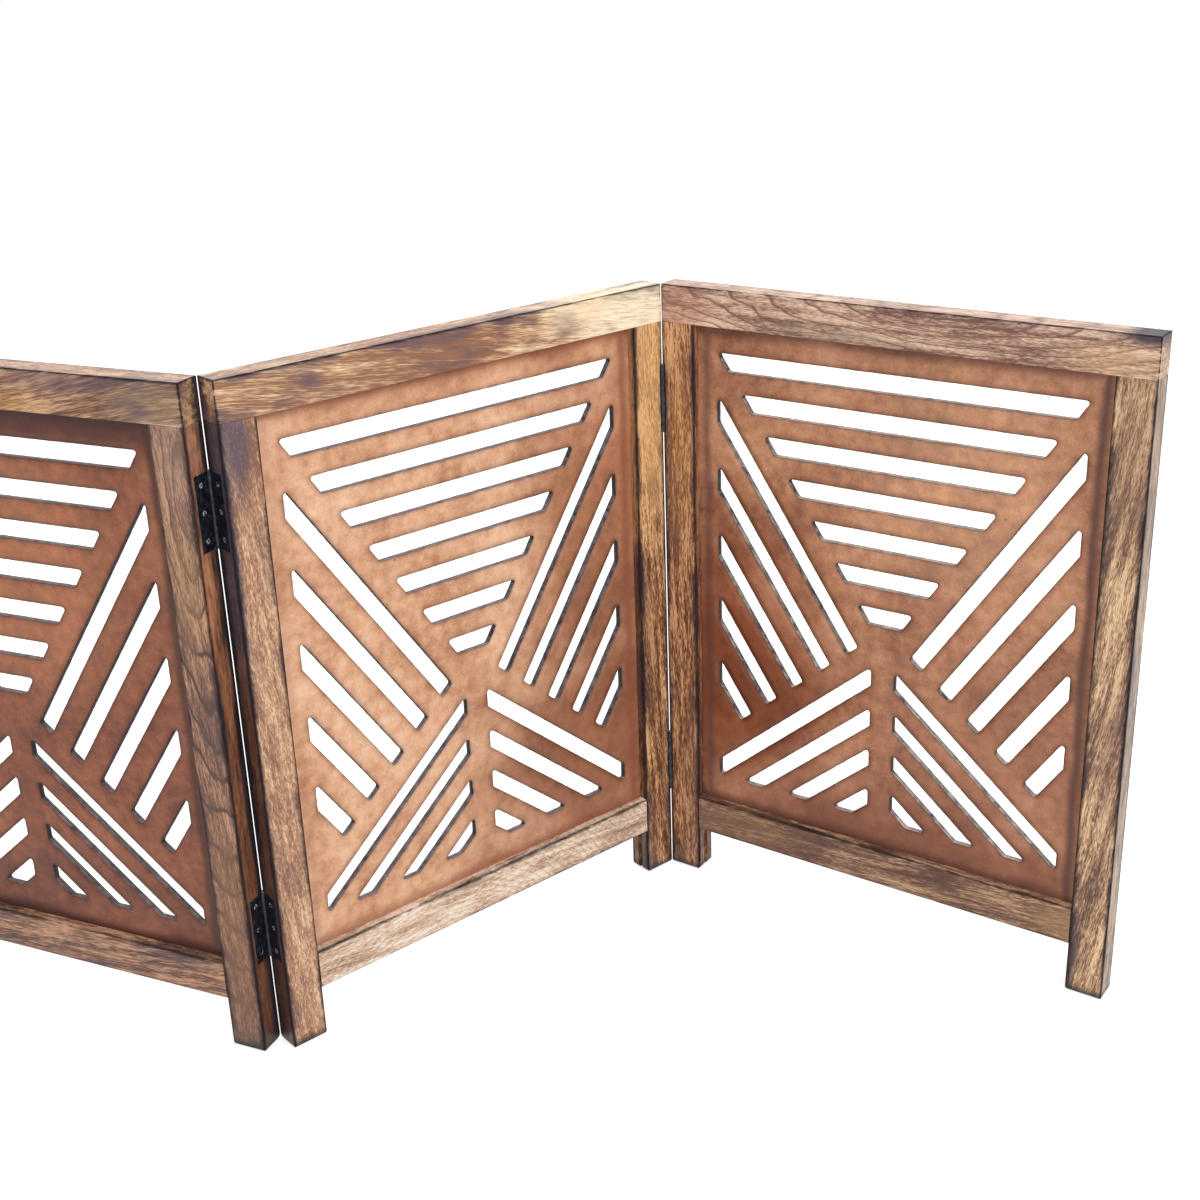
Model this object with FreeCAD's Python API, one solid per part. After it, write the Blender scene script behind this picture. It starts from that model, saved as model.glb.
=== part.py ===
"""Low folding jali screen: three framed panels on two hinge lines.

Each panel is a wooden frame of two stiles, a top rail laid over their ends and a
bottom rail let in between them.  A thin pierced board stands in grooves all round.
The panels stand in a zigzag.  The left joint comes toward the viewer and has its
hinge pins at the back.  The right joint goes away and has its pins at the front.
Lengths are millimetres, angles are degrees, and +Z is up.  The feet stand on z = 0.
"""
import FreeCAD
import Part

import itertools
import math
import os

Vector = FreeCAD.Vector
Z_AXIS = Vector(0, 0, 1)

# Panel sizes
PANEL_HEIGHT = 610.0
PANEL_WIDTH = 460.0
FRAME_THICKNESS = 24.0
STILE_WIDTH = 34.0
TOP_RAIL_HEIGHT = 35.0
BOTTOM_RAIL_HEIGHT = 37.5
LEG_HEIGHT = 48.5

# Eased edges of the frame
OUTER_EDGE_RADIUS = 0.6
INNER_EDGE_RADIUS = 1.5
JOINT_EDGE_RADIUS = 0.6
RAIL_EDGE_RADIUS = 2.2
FOOT_FRONT_RADIUS = 3.0
FOOT_BACK_RADIUS = 7.0
FOOT_INNER_RADIUS = 5.0
FOOT_OUTER_RADIUS = 3.0

# Board and the groove that holds it
BOARD_THICKNESS = 5.5
BOARD_SIDE_PLAY = 0.15
GROOVE_DEPTH = 8.0
BOARD_EDGE_PLAY = 1.0

# Pierced pattern: level slots in a triangle that points down
SIDE_BORDER = 20.2
TOP_BORDER = 25.4
LEVEL_SLOT_HEIGHT = 17.0
LEVEL_RIB_HEIGHT = 19.5
SLOT_CORNER_RADIUS = 2.2
SHORTEST_SLOT = 25.0

# Pierced pattern: raking slots beside the triangle, angle from the upright
RAKE_ANGLE = 34.0
RAKE_SLOT_WIDTH = 15.1
RAKE_RIB_WIDTH = 22.1

# Pierced pattern: falling slots each side of the stem, angle from the level
FALL_ANGLE = 40.4
FALL_SLOT_WIDTH = 14.3
FALL_RIB_WIDTH = 17.6
STEM_WIDTH = 23.6
FORK_RIB_WIDTH = 22.2
FORK_DROP = 18.0
BOTTOM_BORDER = 26.6

# Dowels between the top rail and the stiles
DOWEL_RADIUS = 3.0
DOWEL_LENGTH = 30.0
DOWEL_CHAMFER = 0.8
DOWELS_PER_STILE = 2
DOWEL_PLAY = 0.05
DOWEL_END_PLAY = 1.0

# Butt hinges
HINGE_LENGTH = 64.0
KNUCKLE_COUNT = 5
KNUCKLE_RADIUS = 2.7
KNUCKLE_GAP = 0.3
PIN_RADIUS = 1.3
PIN_PLAY = 0.05
PIN_HEAD_RADIUS = 2.2
PIN_HEAD_HEIGHT = 0.8
PIN_HEAD_EASING = 0.5
LEAF_THICKNESS = 1.6
LEAF_REACH = 19.0
LEAF_CORNER_RADIUS = 1.2
PIN_EDGE_OFFSET = 0.1
PIN_FACE_OFFSET = 0.1
LEAF_FACE_OFFSET = 0.7
NOTCH_GAP = 0.3
GAIN_PLAY = 0.1
UPPER_HINGE_DROP = 76.0
LOWER_HINGE_RISE = 88.0

# Screws of the hinges
SCREWS_PER_LEAF = 3
SCREW_SPACING = 23.0
SCREW_LINE = 11.0
SCREW_LENGTH = 12.7
SCREW_HEAD_RADIUS = 2.8
SCREW_SHANK_RADIUS = 1.35
SCREW_DOME_HEIGHT = 0.4
SCREW_POINT_LENGTH = 2.0
SCREW_HEAD_PLAY = 0.05
SCREW_HOLE_PLAY = 0.15
CROSS_LENGTH = 3.0
CROSS_WIDTH = 0.7
CROSS_DEPTH = 1.1
PILOT_PLAY = 0.05
PILOT_END_PLAY = 0.5

# The zigzag that the screen stands in
MIDDLE_YAW = 40.5
LEFT_FOLD = 64.5
RIGHT_FOLD = 76.0

# One overrun for every cut that passes right through
OVERRUN = 5.0

# The longest stretch of an edge that the rounding of one corner takes
SETBACK_SHARE = 0.45

# Corners of a box's section, as the low or high end across it
SECTION_CORNERS = ((0, 0), (1, 0), (1, 1), (0, 1))
X_ALONG, Y_ALONG, Z_ALONG = range(3)

# Places that follow from the sizes above
HALF_WIDTH = PANEL_WIDTH / 2
HALF_THICKNESS = FRAME_THICKNESS / 2
OPENING_HALF_WIDTH = HALF_WIDTH - STILE_WIDTH
STILE_TOP = PANEL_HEIGHT - TOP_RAIL_HEIGHT
RAIL_TOP = LEG_HEIGHT + BOTTOM_RAIL_HEIGHT
GROOVE_HALF_WIDTH = BOARD_THICKNESS / 2 + BOARD_SIDE_PLAY
GROOVE_REACH = OPENING_HALF_WIDTH + GROOVE_DEPTH
BOARD_BOTTOM = RAIL_TOP - GROOVE_DEPTH
BOARD_TOP = STILE_TOP + GROOVE_DEPTH - BOARD_EDGE_PLAY
BOARD_HALF_WIDTH = GROOVE_REACH - BOARD_EDGE_PLAY
PIN_X = HALF_WIDTH + PIN_EDGE_OFFSET
PIN_Y = HALF_THICKNESS + PIN_FACE_OFFSET
LEAF_BACK_OFFSET = LEAF_FACE_OFFSET + LEAF_THICKNESS
NOTCH_REACH = KNUCKLE_RADIUS + NOTCH_GAP
KNUCKLE_PITCH = HINGE_LENGTH / KNUCKLE_COUNT
SCREW_HEAD_DEPTH = SCREW_HEAD_RADIUS - SCREW_SHANK_RADIUS
UPPER_HINGE_BOTTOM = PANEL_HEIGHT - UPPER_HINGE_DROP - HINGE_LENGTH
HINGE_BOTTOMS = {"upper": UPPER_HINGE_BOTTOM, "lower": LOWER_HINGE_RISE}

# Knuckles of the two leaves, counted from the bottom of the hinge
FIXED_KNUCKLES = range(0, KNUCKLE_COUNT, 2)
SWING_KNUCKLES = range(1, KNUCKLE_COUNT, 2)


def block(x_range, y_range, z_range):
    """Return a box that spans the three ranges, each given in either order."""
    low = Vector(min(x_range), min(y_range), min(z_range))
    high = Vector(max(x_range), max(y_range), max(z_range))
    size = high - low
    return Part.makeBox(size.x, size.y, size.z, low)


def fused(shapes):
    """Return one solid made of the shapes, with the seams between them removed."""
    first, *others = shapes
    return first.fuse(others).removeSplitter() if others else first


def eased(solid, radius, chosen):
    """Return the solid with the edges rounded whose middle point passes a test."""
    return solid.makeFillet(radius, [edge for edge in solid.Edges if chosen(edge.CenterOfMass)])


def rounded_face(points, radii):
    """Return the flat face inside an outline whose corners are rounded.

    Each corner has its own radius, and a radius of zero keeps the corner sharp.
    A radius is held back where the edges beside the corner are too short for it.
    """
    starts = []
    ends = []
    arcs = []
    for index, corner in enumerate(points):
        before = points[index - 1] - corner
        after = points[index + 1 - len(points)] - corner
        longest_setback = SETBACK_SHARE * min(before.Length, after.Length)
        before.normalize()
        after.normalize()
        half_angle = before.getAngle(after) / 2
        setback = min(radii[index] / math.tan(half_angle), longest_setback)
        first = corner + before * setback
        last = corner + after * setback
        starts.append(first)
        ends.append(last)
        if setback > 0:
            radius = setback * math.tan(half_angle)
            inward = (before + after).normalize()
            middle = corner + inward * (radius / math.sin(half_angle) - radius)
            arcs.append([Part.Arc(first, middle, last).toShape()])
        else:
            arcs.append([])
    edges = []
    for index, arc in enumerate(arcs):
        edges += arc
        following = index + 1 - len(points)
        edges.append(Part.LineSegment(ends[index], starts[following]).toShape())
    return Part.Face(Part.Wire(edges))


def rounded_box(spans, along, radii):
    """Return a box whose four edges along one axis are rounded.

    spans holds the low and high ends along X, Y and Z.  The radii go round the
    section in this order: low-low, high-low, high-high, low-high.
    """
    across = [axis for axis in range(len(spans)) if axis != along]
    points = []
    for corner in SECTION_CORNERS:
        place = [span[0] for span in spans]
        for axis, end in zip(across, corner):
            place[axis] = spans[axis][end]
        points.append(Vector(*place))
    sweep = [0, 0, 0]
    sweep[along] = spans[along][1] - spans[along][0]
    return rounded_face(points, radii).extrude(Vector(*sweep))


class Border:
    """A straight border on the board, which keeps what lies on its inward side."""

    def __init__(self, point, inward):
        self.point = point
        self.inward = inward

    def depth(self, point):
        """Return how far a point lies inside the border."""
        return (point - self.point).dot(self.inward)

    def shifted(self, distance):
        """Return the border moved inward by a distance."""
        return Border(self.point + self.inward * distance, self.inward)

    def flipped(self):
        """Return the same border with its other side kept."""
        return Border(self.point, -self.inward)

    def mirrored(self):
        """Return the border's mirror image across the panel's middle."""
        point = Vector(-self.point.x, self.point.y, self.point.z)
        return Border(point, Vector(-self.inward.x, self.inward.y, self.inward.z))


def clipped(outline, border):
    """Return what a border leaves of an outline."""
    kept = []
    for index, point in enumerate(outline):
        before = outline[index - 1]
        depth = border.depth(point)
        depth_before = border.depth(before)
        if (depth > 0) != (depth_before > 0):
            share = depth_before / (depth_before - depth)
            kept.append(before + (point - before) * share)
        if depth > 0:
            kept.append(point)
    return kept


def outline_area(outline):
    """Return the area inside an outline on the board's face."""
    doubled = 0
    for index, point in enumerate(outline):
        before = outline[index - 1]
        doubled += before.x * point.z - point.x * before.z
    return abs(doubled) / 2


def parted(outline):
    """Return the outline without corners that crowd the corner before them."""
    return [point for index, point in enumerate(outline)
            if (point - outline[index - 1]).Length > SLOT_CORNER_RADIUS]


def slot_row(first_edge, slot_width, rib_width, field):
    """Return the outlines of a row of parallel slots.

    The first slot starts at first_edge, and the others follow on its inward
    side.  The borders in field cut them off, and the row ends where the mean
    length of a slot would fall under the shortest one.
    """
    face = [
        Vector(-BOARD_HALF_WIDTH, 0, BOARD_BOTTOM),
        Vector(BOARD_HALF_WIDTH, 0, BOARD_BOTTOM),
        Vector(BOARD_HALF_WIDTH, 0, BOARD_TOP),
        Vector(-BOARD_HALF_WIDTH, 0, BOARD_TOP),
    ]
    outlines = []
    for index in itertools.count():
        edge = first_edge.shifted(index * (slot_width + rib_width))
        outline = face
        for border in [edge, edge.shifted(slot_width).flipped()] + field:
            outline = clipped(outline, border)
        if outline_area(outline) < SHORTEST_SLOT * slot_width:
            return outlines
        outlines.append(parted(outline))


def level_slots(triangle_side, top):
    """Return the level slots, which shorten downward inside the triangle."""
    sides = [triangle_side, triangle_side.mirrored()]
    return slot_row(top, LEVEL_SLOT_HEIGHT, LEVEL_RIB_HEIGHT, sides)


def raking_slots(triangle_side, end, foot):
    """Return the raking slots to the right of the triangle."""
    first = triangle_side.flipped().shifted(RAKE_RIB_WIDTH)
    return slot_row(first, RAKE_SLOT_WIDTH, RAKE_RIB_WIDTH, [end, foot])


def falling_slots(first, end):
    """Return the falling slots to the right of the stem."""
    stem = Border(Vector(STEM_WIDTH / 2, 0, 0), Vector(1, 0, 0))
    floor = Border(Vector(0, 0, RAIL_TOP + BOTTOM_BORDER), Z_AXIS)
    return slot_row(first, FALL_SLOT_WIDTH, FALL_RIB_WIDTH, [stem, end, floor])


def board_slots():
    """Return the outlines of every slot of a board."""
    rake = math.radians(RAKE_ANGLE)
    fall = math.radians(FALL_ANGLE)
    half_width = OPENING_HALF_WIDTH - SIDE_BORDER
    triangle_top = STILE_TOP - TOP_BORDER
    triangle_tip = triangle_top - half_width / math.tan(rake)
    top = Border(Vector(0, 0, triangle_top), -Z_AXIS)
    end = Border(Vector(half_width, 0, 0), Vector(-1, 0, 0))
    triangle_side = Border(Vector(half_width, 0, triangle_top), Vector(-math.cos(rake), 0, math.sin(rake)))
    stem_corner = Vector(STEM_WIDTH / 2, 0, triangle_tip - FORK_DROP)
    first_falling = Border(stem_corner, Vector(-math.sin(fall), 0, -math.cos(fall)))
    foot = first_falling.flipped().shifted(FORK_RIB_WIDTH)
    one_side = raking_slots(triangle_side, end, foot) + falling_slots(first_falling, end)
    other_side = [[Vector(-point.x, 0, point.z) for point in outline] for outline in one_side]
    return level_slots(triangle_side, top) + one_side + other_side


def make_board():
    """Return the pierced board, standing on the groove floor of the bottom rail."""
    board = block(
        (-BOARD_HALF_WIDTH, BOARD_HALF_WIDTH),
        (-BOARD_THICKNESS / 2, BOARD_THICKNESS / 2),
        (BOARD_BOTTOM, BOARD_TOP),
    )
    through = Vector(0, BOARD_THICKNESS + 2 * OVERRUN, 0)
    front = Vector(0, -BOARD_THICKNESS / 2 - OVERRUN, 0)
    cutters = []
    for outline in board_slots():
        points = [point + front for point in outline]
        face = rounded_face(points, [SLOT_CORNER_RADIUS] * len(points))
        cutters.append(face.extrude(through))
    return board.cut(Part.Compound(cutters))


def dowel_places():
    """Return where the dowels of the right-hand stile stand, spread beside its groove."""
    spacing = (HALF_WIDTH - GROOVE_REACH) / (DOWELS_PER_STILE + 1)
    return [GROOVE_REACH + (index + 1) * spacing for index in range(DOWELS_PER_STILE)]


def dowel_holes(side):
    """Return the holes of one stile's dowels, cut into the stile and the rail."""
    depth = DOWEL_LENGTH + 2 * DOWEL_END_PLAY
    bottom = STILE_TOP - depth / 2
    radius = DOWEL_RADIUS + DOWEL_PLAY
    holes = [Part.makeCylinder(radius, depth, Vector(side * x, 0, bottom)) for x in dowel_places()]
    return Part.Compound(holes)


def make_dowels():
    """Return the four dowels of a panel as separate solids."""
    dowels = []
    for side in (-1, 1):
        for x in dowel_places():
            base = Vector(side * x, 0, STILE_TOP - DOWEL_LENGTH / 2)
            dowel = Part.makeCylinder(DOWEL_RADIUS, DOWEL_LENGTH, base)
            ends = [edge for edge in dowel.Edges if len(edge.Vertexes) == 1]
            dowels.append(dowel.makeChamfer(DOWEL_CHAMFER, ends))
    return Part.Compound(dowels)


def groove(x_range, z_range):
    """Return the cutter of a groove for the board."""
    return block(x_range, (-GROOVE_HALF_WIDTH, GROOVE_HALF_WIDTH), z_range)


def screw_places():
    """Return the heights of a leaf's screws above the bottom of the hinge."""
    first = (HINGE_LENGTH - (SCREWS_PER_LEAF - 1) * SCREW_SPACING) / 2
    return [first + index * SCREW_SPACING for index in range(SCREWS_PER_LEAF)]


def gain_cutters(side):
    """Return what one leaf, the barrel and the screws take out of the stile.

    It is given in the hinge's own frame, with the pin on the Z axis and the
    stile on the side that the sign names.
    """
    bed = block(
        (side * LEAF_FACE_OFFSET - side * OVERRUN, side * LEAF_BACK_OFFSET),
        (OVERRUN, -LEAF_REACH - GAIN_PLAY),
        (-GAIN_PLAY, HINGE_LENGTH + GAIN_PLAY),
    )
    barrel_play = PIN_HEAD_HEIGHT + NOTCH_GAP
    barrel_bed = Part.makeCylinder(NOTCH_REACH, HINGE_LENGTH + 2 * barrel_play, Vector(0, 0, -barrel_play))
    depth = SCREW_LENGTH + PILOT_END_PLAY
    radius = SCREW_SHANK_RADIUS + PILOT_PLAY
    cutters = [bed, barrel_bed]
    for height in screw_places():
        base = Vector(side * LEAF_FACE_OFFSET, -SCREW_LINE, height)
        cutters.append(Part.makeCylinder(radius, depth, base, Vector(side, 0, 0)))
    return cutters


def make_stile(side, hinge_face):
    """Return the stile on one side of a panel.

    hinge_face is 1 where the pins lie at the back, -1 where they lie at the
    front and 0 on a stile without hinges.
    """
    outer = side * HALF_WIDTH
    inner = side * OPENING_HALF_WIDTH
    spans = [sorted((outer, inner)), (-HALF_THICKNESS, HALF_THICKNESS), (0, STILE_TOP)]
    left_radius, right_radius = (INNER_EDGE_RADIUS, OUTER_EDGE_RADIUS)[::side]
    post = rounded_box(spans, Z_ALONG, [left_radius, right_radius, right_radius, left_radius])
    post = post.common(rounded_box(spans, X_ALONG, [FOOT_FRONT_RADIUS, FOOT_BACK_RADIUS, 0, 0]))
    left_foot, right_foot = (FOOT_INNER_RADIUS, FOOT_OUTER_RADIUS)[::side]
    post = post.common(rounded_box(spans, Y_ALONG, [left_foot, right_foot, 0, 0]))
    stile = post.cut(groove((inner - side * OVERRUN, side * GROOVE_REACH), (-OVERRUN, STILE_TOP + OVERRUN)))
    stile = stile.cut(dowel_holes(side))
    if hinge_face:
        for height in HINGE_BOTTOMS.values():
            for cutter in gain_cutters(-side * hinge_face):
                if hinge_face < 0:
                    cutter.rotate(Vector(0, 0, 0), Z_AXIS, 180)
                cutter.translate(Vector(side * PIN_X, hinge_face * PIN_Y, height))
                stile = stile.cut(cutter)
    return stile


def make_top_rail():
    """Return the top rail, which lies over both stiles and has a stopped groove."""
    bar = block((-HALF_WIDTH, HALF_WIDTH), (-HALF_THICKNESS, HALF_THICKNESS), (STILE_TOP, PANEL_HEIGHT))
    bar = eased(bar, OUTER_EDGE_RADIUS, lambda middle: middle.z > STILE_TOP + JOINT_EDGE_RADIUS)
    rail = eased(bar, JOINT_EDGE_RADIUS, lambda middle: middle.z < STILE_TOP + JOINT_EDGE_RADIUS)
    rail = rail.cut(groove((-GROOVE_REACH, GROOVE_REACH), (STILE_TOP - OVERRUN, STILE_TOP + GROOVE_DEPTH)))
    for side in (-1, 1):
        rail = rail.cut(dowel_holes(side))
    return rail


def make_bottom_rail():
    """Return the bottom rail with a tongue at each end for the groove of the stile."""
    spans = [
        (-OPENING_HALF_WIDTH, OPENING_HALF_WIDTH),
        (-HALF_THICKNESS, HALF_THICKNESS),
        (LEG_HEIGHT, RAIL_TOP),
    ]
    rail = rounded_box(spans, X_ALONG, [RAIL_EDGE_RADIUS] * len(SECTION_CORNERS))
    tongue_low = LEG_HEIGHT + RAIL_EDGE_RADIUS
    tongue_reach = GROOVE_REACH - BOARD_EDGE_PLAY
    tongue = groove((-tongue_reach, tongue_reach), (tongue_low, BOARD_BOTTOM))
    rail = fused([rail, tongue])
    return rail.cut(groove((-GROOVE_REACH, GROOVE_REACH), (BOARD_BOTTOM, RAIL_TOP + OVERRUN)))


def knuckle_span(index):
    """Return the heights between which a knuckle lies on the hinge."""
    bottom = index * KNUCKLE_PITCH + KNUCKLE_GAP / 2
    top = (index + 1) * KNUCKLE_PITCH - KNUCKLE_GAP / 2
    return bottom, top


def make_leaf(side, knuckles):
    """Return a hinge leaf with its knuckles, the pin on the Z axis."""
    thickness = (side * LEAF_FACE_OFFSET, side * LEAF_BACK_OFFSET)
    spans = [sorted(thickness), (-LEAF_REACH, -NOTCH_REACH), (0, HINGE_LENGTH)]
    plate = rounded_box(spans, X_ALONG, [LEAF_CORNER_RADIUS, 0, 0, LEAF_CORNER_RADIUS])
    pieces = [plate]
    for index in knuckles:
        bottom, top = knuckle_span(index)
        pieces.append(block(thickness, (-NOTCH_REACH, 0), (bottom, top)))
        pieces.append(Part.makeCylinder(KNUCKLE_RADIUS, top - bottom, Vector(0, 0, bottom)))
    leaf = fused(pieces)
    bore_base = Vector(0, 0, -OVERRUN)
    bore = Part.makeCylinder(PIN_RADIUS + PIN_PLAY, HINGE_LENGTH + 2 * OVERRUN, bore_base)
    cutters = [bore]
    hole_radius = SCREW_SHANK_RADIUS + SCREW_HOLE_PLAY
    sink_radius = SCREW_HEAD_RADIUS + SCREW_HEAD_PLAY
    sink_depth = sink_radius - hole_radius
    inward = Vector(side, 0, 0)
    for height in screw_places():
        base = Vector(side * LEAF_FACE_OFFSET, -SCREW_LINE, height)
        cutters.append(Part.makeCylinder(hole_radius, OVERRUN, base, inward))
        cutters.append(Part.makeCone(sink_radius, hole_radius, sink_depth, base, inward))
    for cutter in cutters:
        leaf = leaf.cut(cutter)
    return leaf


def make_pin():
    """Return the hinge pin with a low riveted head at each end."""
    pin = Part.makeCylinder(PIN_RADIUS, HINGE_LENGTH)
    head = Part.makeCylinder(PIN_HEAD_RADIUS, PIN_HEAD_HEIGHT)
    rim = [edge for edge in head.Edges if len(edge.Vertexes) == 1 and edge.CenterOfMass.z > 0]
    head = head.makeFillet(PIN_HEAD_EASING, rim)
    upper = head.translated(Vector(0, 0, HINGE_LENGTH))
    lower = head.rotated(Vector(0, 0, 0), Vector(1, 0, 0), 180)
    return fused([pin, upper, lower])


def make_screw():
    """Return a raised countersunk screw, head up, with the leaf's face at z = 0."""
    cone_base = Vector(0, 0, -SCREW_HEAD_DEPTH)
    cone = Part.makeCone(SCREW_SHANK_RADIUS, SCREW_HEAD_RADIUS, SCREW_HEAD_DEPTH, cone_base)
    shank_length = SCREW_LENGTH - SCREW_HEAD_DEPTH - SCREW_POINT_LENGTH
    shank_bottom = SCREW_POINT_LENGTH - SCREW_LENGTH
    shank = Part.makeCylinder(SCREW_SHANK_RADIUS, shank_length, Vector(0, 0, shank_bottom))
    point = Part.makeCone(0, SCREW_SHANK_RADIUS, SCREW_POINT_LENGTH, Vector(0, 0, -SCREW_LENGTH))
    dome_radius = (SCREW_HEAD_RADIUS ** 2 + SCREW_DOME_HEIGHT ** 2) / (2 * SCREW_DOME_HEIGHT)
    ball = Part.makeSphere(dome_radius, Vector(0, 0, SCREW_DOME_HEIGHT - dome_radius))
    dome = ball.common(Part.makeCylinder(SCREW_HEAD_RADIUS, SCREW_DOME_HEIGHT))
    screw = fused([shank, point, cone, dome])
    recess_bottom = SCREW_DOME_HEIGHT - CROSS_DEPTH
    half_length = CROSS_LENGTH / 2
    half_width = CROSS_WIDTH / 2
    depth = (recess_bottom, SCREW_DOME_HEIGHT + OVERRUN)
    first = block((-half_length, half_length), (-half_width, half_width), depth)
    second = block((-half_width, half_width), (-half_length, half_length), depth)
    return screw.cut(first.fuse(second))


def make_leaf_screws(side):
    """Return the screws of one leaf, set in the hinge's own frame."""
    screws = []
    for height in screw_places():
        screw = make_screw()
        screw.rotate(Vector(0, 0, 0), Vector(0, 1, 0), -side * 90)
        screw.translate(Vector(side * LEAF_FACE_OFFSET, -SCREW_LINE, height))
        screws.append(screw)
    return Part.Compound(screws)


class Panel:
    """A panel with its place on the floor plan and the faces its pins lie at."""

    def __init__(self, name, origin, yaw, hinge_faces):
        self.name = name
        self.origin = origin
        self.yaw = yaw
        self.hinge_faces = hinge_faces

    def placement(self):
        """Return the placement that carries the panel's own frame to the part's frame."""
        return FreeCAD.Placement(self.origin, FreeCAD.Rotation(Z_AXIS, self.yaw))

    def placed(self, shape):
        """Return a shape of the panel's own frame where the panel stands."""
        return shape.transformed(self.placement().toMatrix())

    def pieces(self):
        """Return the solids of the panel by name, in the panel's own frame."""
        return {
            "top_rail": make_top_rail(),
            "bottom_rail": make_bottom_rail(),
            "left_stile": make_stile(-1, self.hinge_faces[0]),
            "right_stile": make_stile(1, self.hinge_faces[1]),
            "jali_board": make_board(),
            "dowels": make_dowels(),
        }

    def corner_centres(self):
        """Return the centres of the rounded corners on the floor plan."""
        x = HALF_WIDTH - OUTER_EDGE_RADIUS
        y = HALF_THICKNESS - OUTER_EDGE_RADIUS
        local = [Vector(i * x, j * y, 0) for i in (-1, 1) for j in (-1, 1)]
        return [self.placement().multVec(point) for point in local]


class Joint:
    """A hinge line between the middle panel and one of its neighbours.

    side is the edge of the middle panel, and face is 1 where the pins lie at
    the back and -1 where they lie at the front.
    """

    def __init__(self, name, side, face):
        self.name = name
        self.side = side
        self.face = face

    def pin_in_middle(self):
        """Return the pin's place in the middle panel's own frame."""
        return Vector(self.side * PIN_X, self.face * PIN_Y, 0)

    def pin_in_neighbour(self):
        """Return the pin's place in the neighbour's own frame."""
        return Vector(-self.side * PIN_X, self.face * PIN_Y, 0)

    def set_hinge(self, shape, pin, height):
        """Return a shape of the hinge's frame at a pin and height of a panel's frame."""
        turn = 0 if self.face > 0 else 180
        placement = FreeCAD.Placement(pin + Vector(0, 0, height), FreeCAD.Rotation(Z_AXIS, turn))
        return shape.transformed(placement.toMatrix())


def neighbour_origin(joint, middle, yaw):
    """Return where the neighbour's frame stands so that both pins fall together."""
    pin = middle.placement().multVec(joint.pin_in_middle())
    arm = FreeCAD.Rotation(Z_AXIS, yaw).multVec(joint.pin_in_neighbour())
    return pin - arm


def lay_out():
    """Return the three panels in their zigzag, centred over the origin."""
    left_joint = Joint("left", -1, 1)
    right_joint = Joint("right", 1, -1)
    left_yaw = MIDDLE_YAW - LEFT_FOLD
    right_yaw = MIDDLE_YAW - RIGHT_FOLD
    middle = Panel("middle", Vector(0, 0, 0), MIDDLE_YAW, (1, -1))
    left = Panel("left", neighbour_origin(left_joint, middle, left_yaw), left_yaw, (0, 1))
    right = Panel("right", neighbour_origin(right_joint, middle, right_yaw), right_yaw, (-1, 0))
    panels = [left, middle, right]
    corners = [corner for panel in panels for corner in panel.corner_centres()]
    middle_x = (min(corner.x for corner in corners) + max(corner.x for corner in corners)) / 2
    middle_y = (min(corner.y for corner in corners) + max(corner.y for corner in corners)) / 2
    for panel in panels:
        panel.origin = panel.origin - Vector(middle_x, middle_y, 0)
    return panels, [(left_joint, left), (right_joint, right)]


def build_nodes():
    """Return every sub-part by its node name, standing in the part's frame."""
    panels, joints = lay_out()
    middle = panels[1]
    nodes = {}
    for panel in panels:
        for name, shape in panel.pieces().items():
            nodes[f"{panel.name}_panel_{name}"] = panel.placed(shape)
    for joint, neighbour in joints:
        fixed_side = -joint.side * joint.face
        swing_side = -fixed_side
        fixed = {
            "fixed_leaf": make_leaf(fixed_side, FIXED_KNUCKLES),
            "fixed_screws": make_leaf_screws(fixed_side),
            "pin": make_pin(),
        }
        swing = {
            "swing_leaf": make_leaf(swing_side, SWING_KNUCKLES),
            "swing_screws": make_leaf_screws(swing_side),
        }
        for level, height in HINGE_BOTTOMS.items():
            prefix = f"{joint.name}_{level}_hinge"
            for name, shape in fixed.items():
                set_shape = joint.set_hinge(shape, joint.pin_in_middle(), height)
                nodes[f"{prefix}_{name}"] = middle.placed(set_shape)
            for name, shape in swing.items():
                set_shape = joint.set_hinge(shape, joint.pin_in_neighbour(), height)
                nodes[f"{prefix}_{name}"] = neighbour.placed(set_shape)
    return nodes


def main():
    """Write one STEP file for each sub-part."""
    os.makedirs("parts", exist_ok=True)
    for name, shape in build_nodes().items():
        shape.exportStep(f"parts/{name}.step")


main()
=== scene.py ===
"""The looks of the folding jali screen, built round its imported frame.

Three framed panels stand in a zigzag.  The frames keep their solids and get a
wood finish each.  The pierced boards and the screws are built here with
Geometry Nodes.  Everything is in metres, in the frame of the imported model.
"""

import itertools
import logging
import math
from dataclasses import dataclass
from enum import Enum
from functools import partial
from typing import Optional, Union

import bpy
from mathutils import Matrix, Vector


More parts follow.
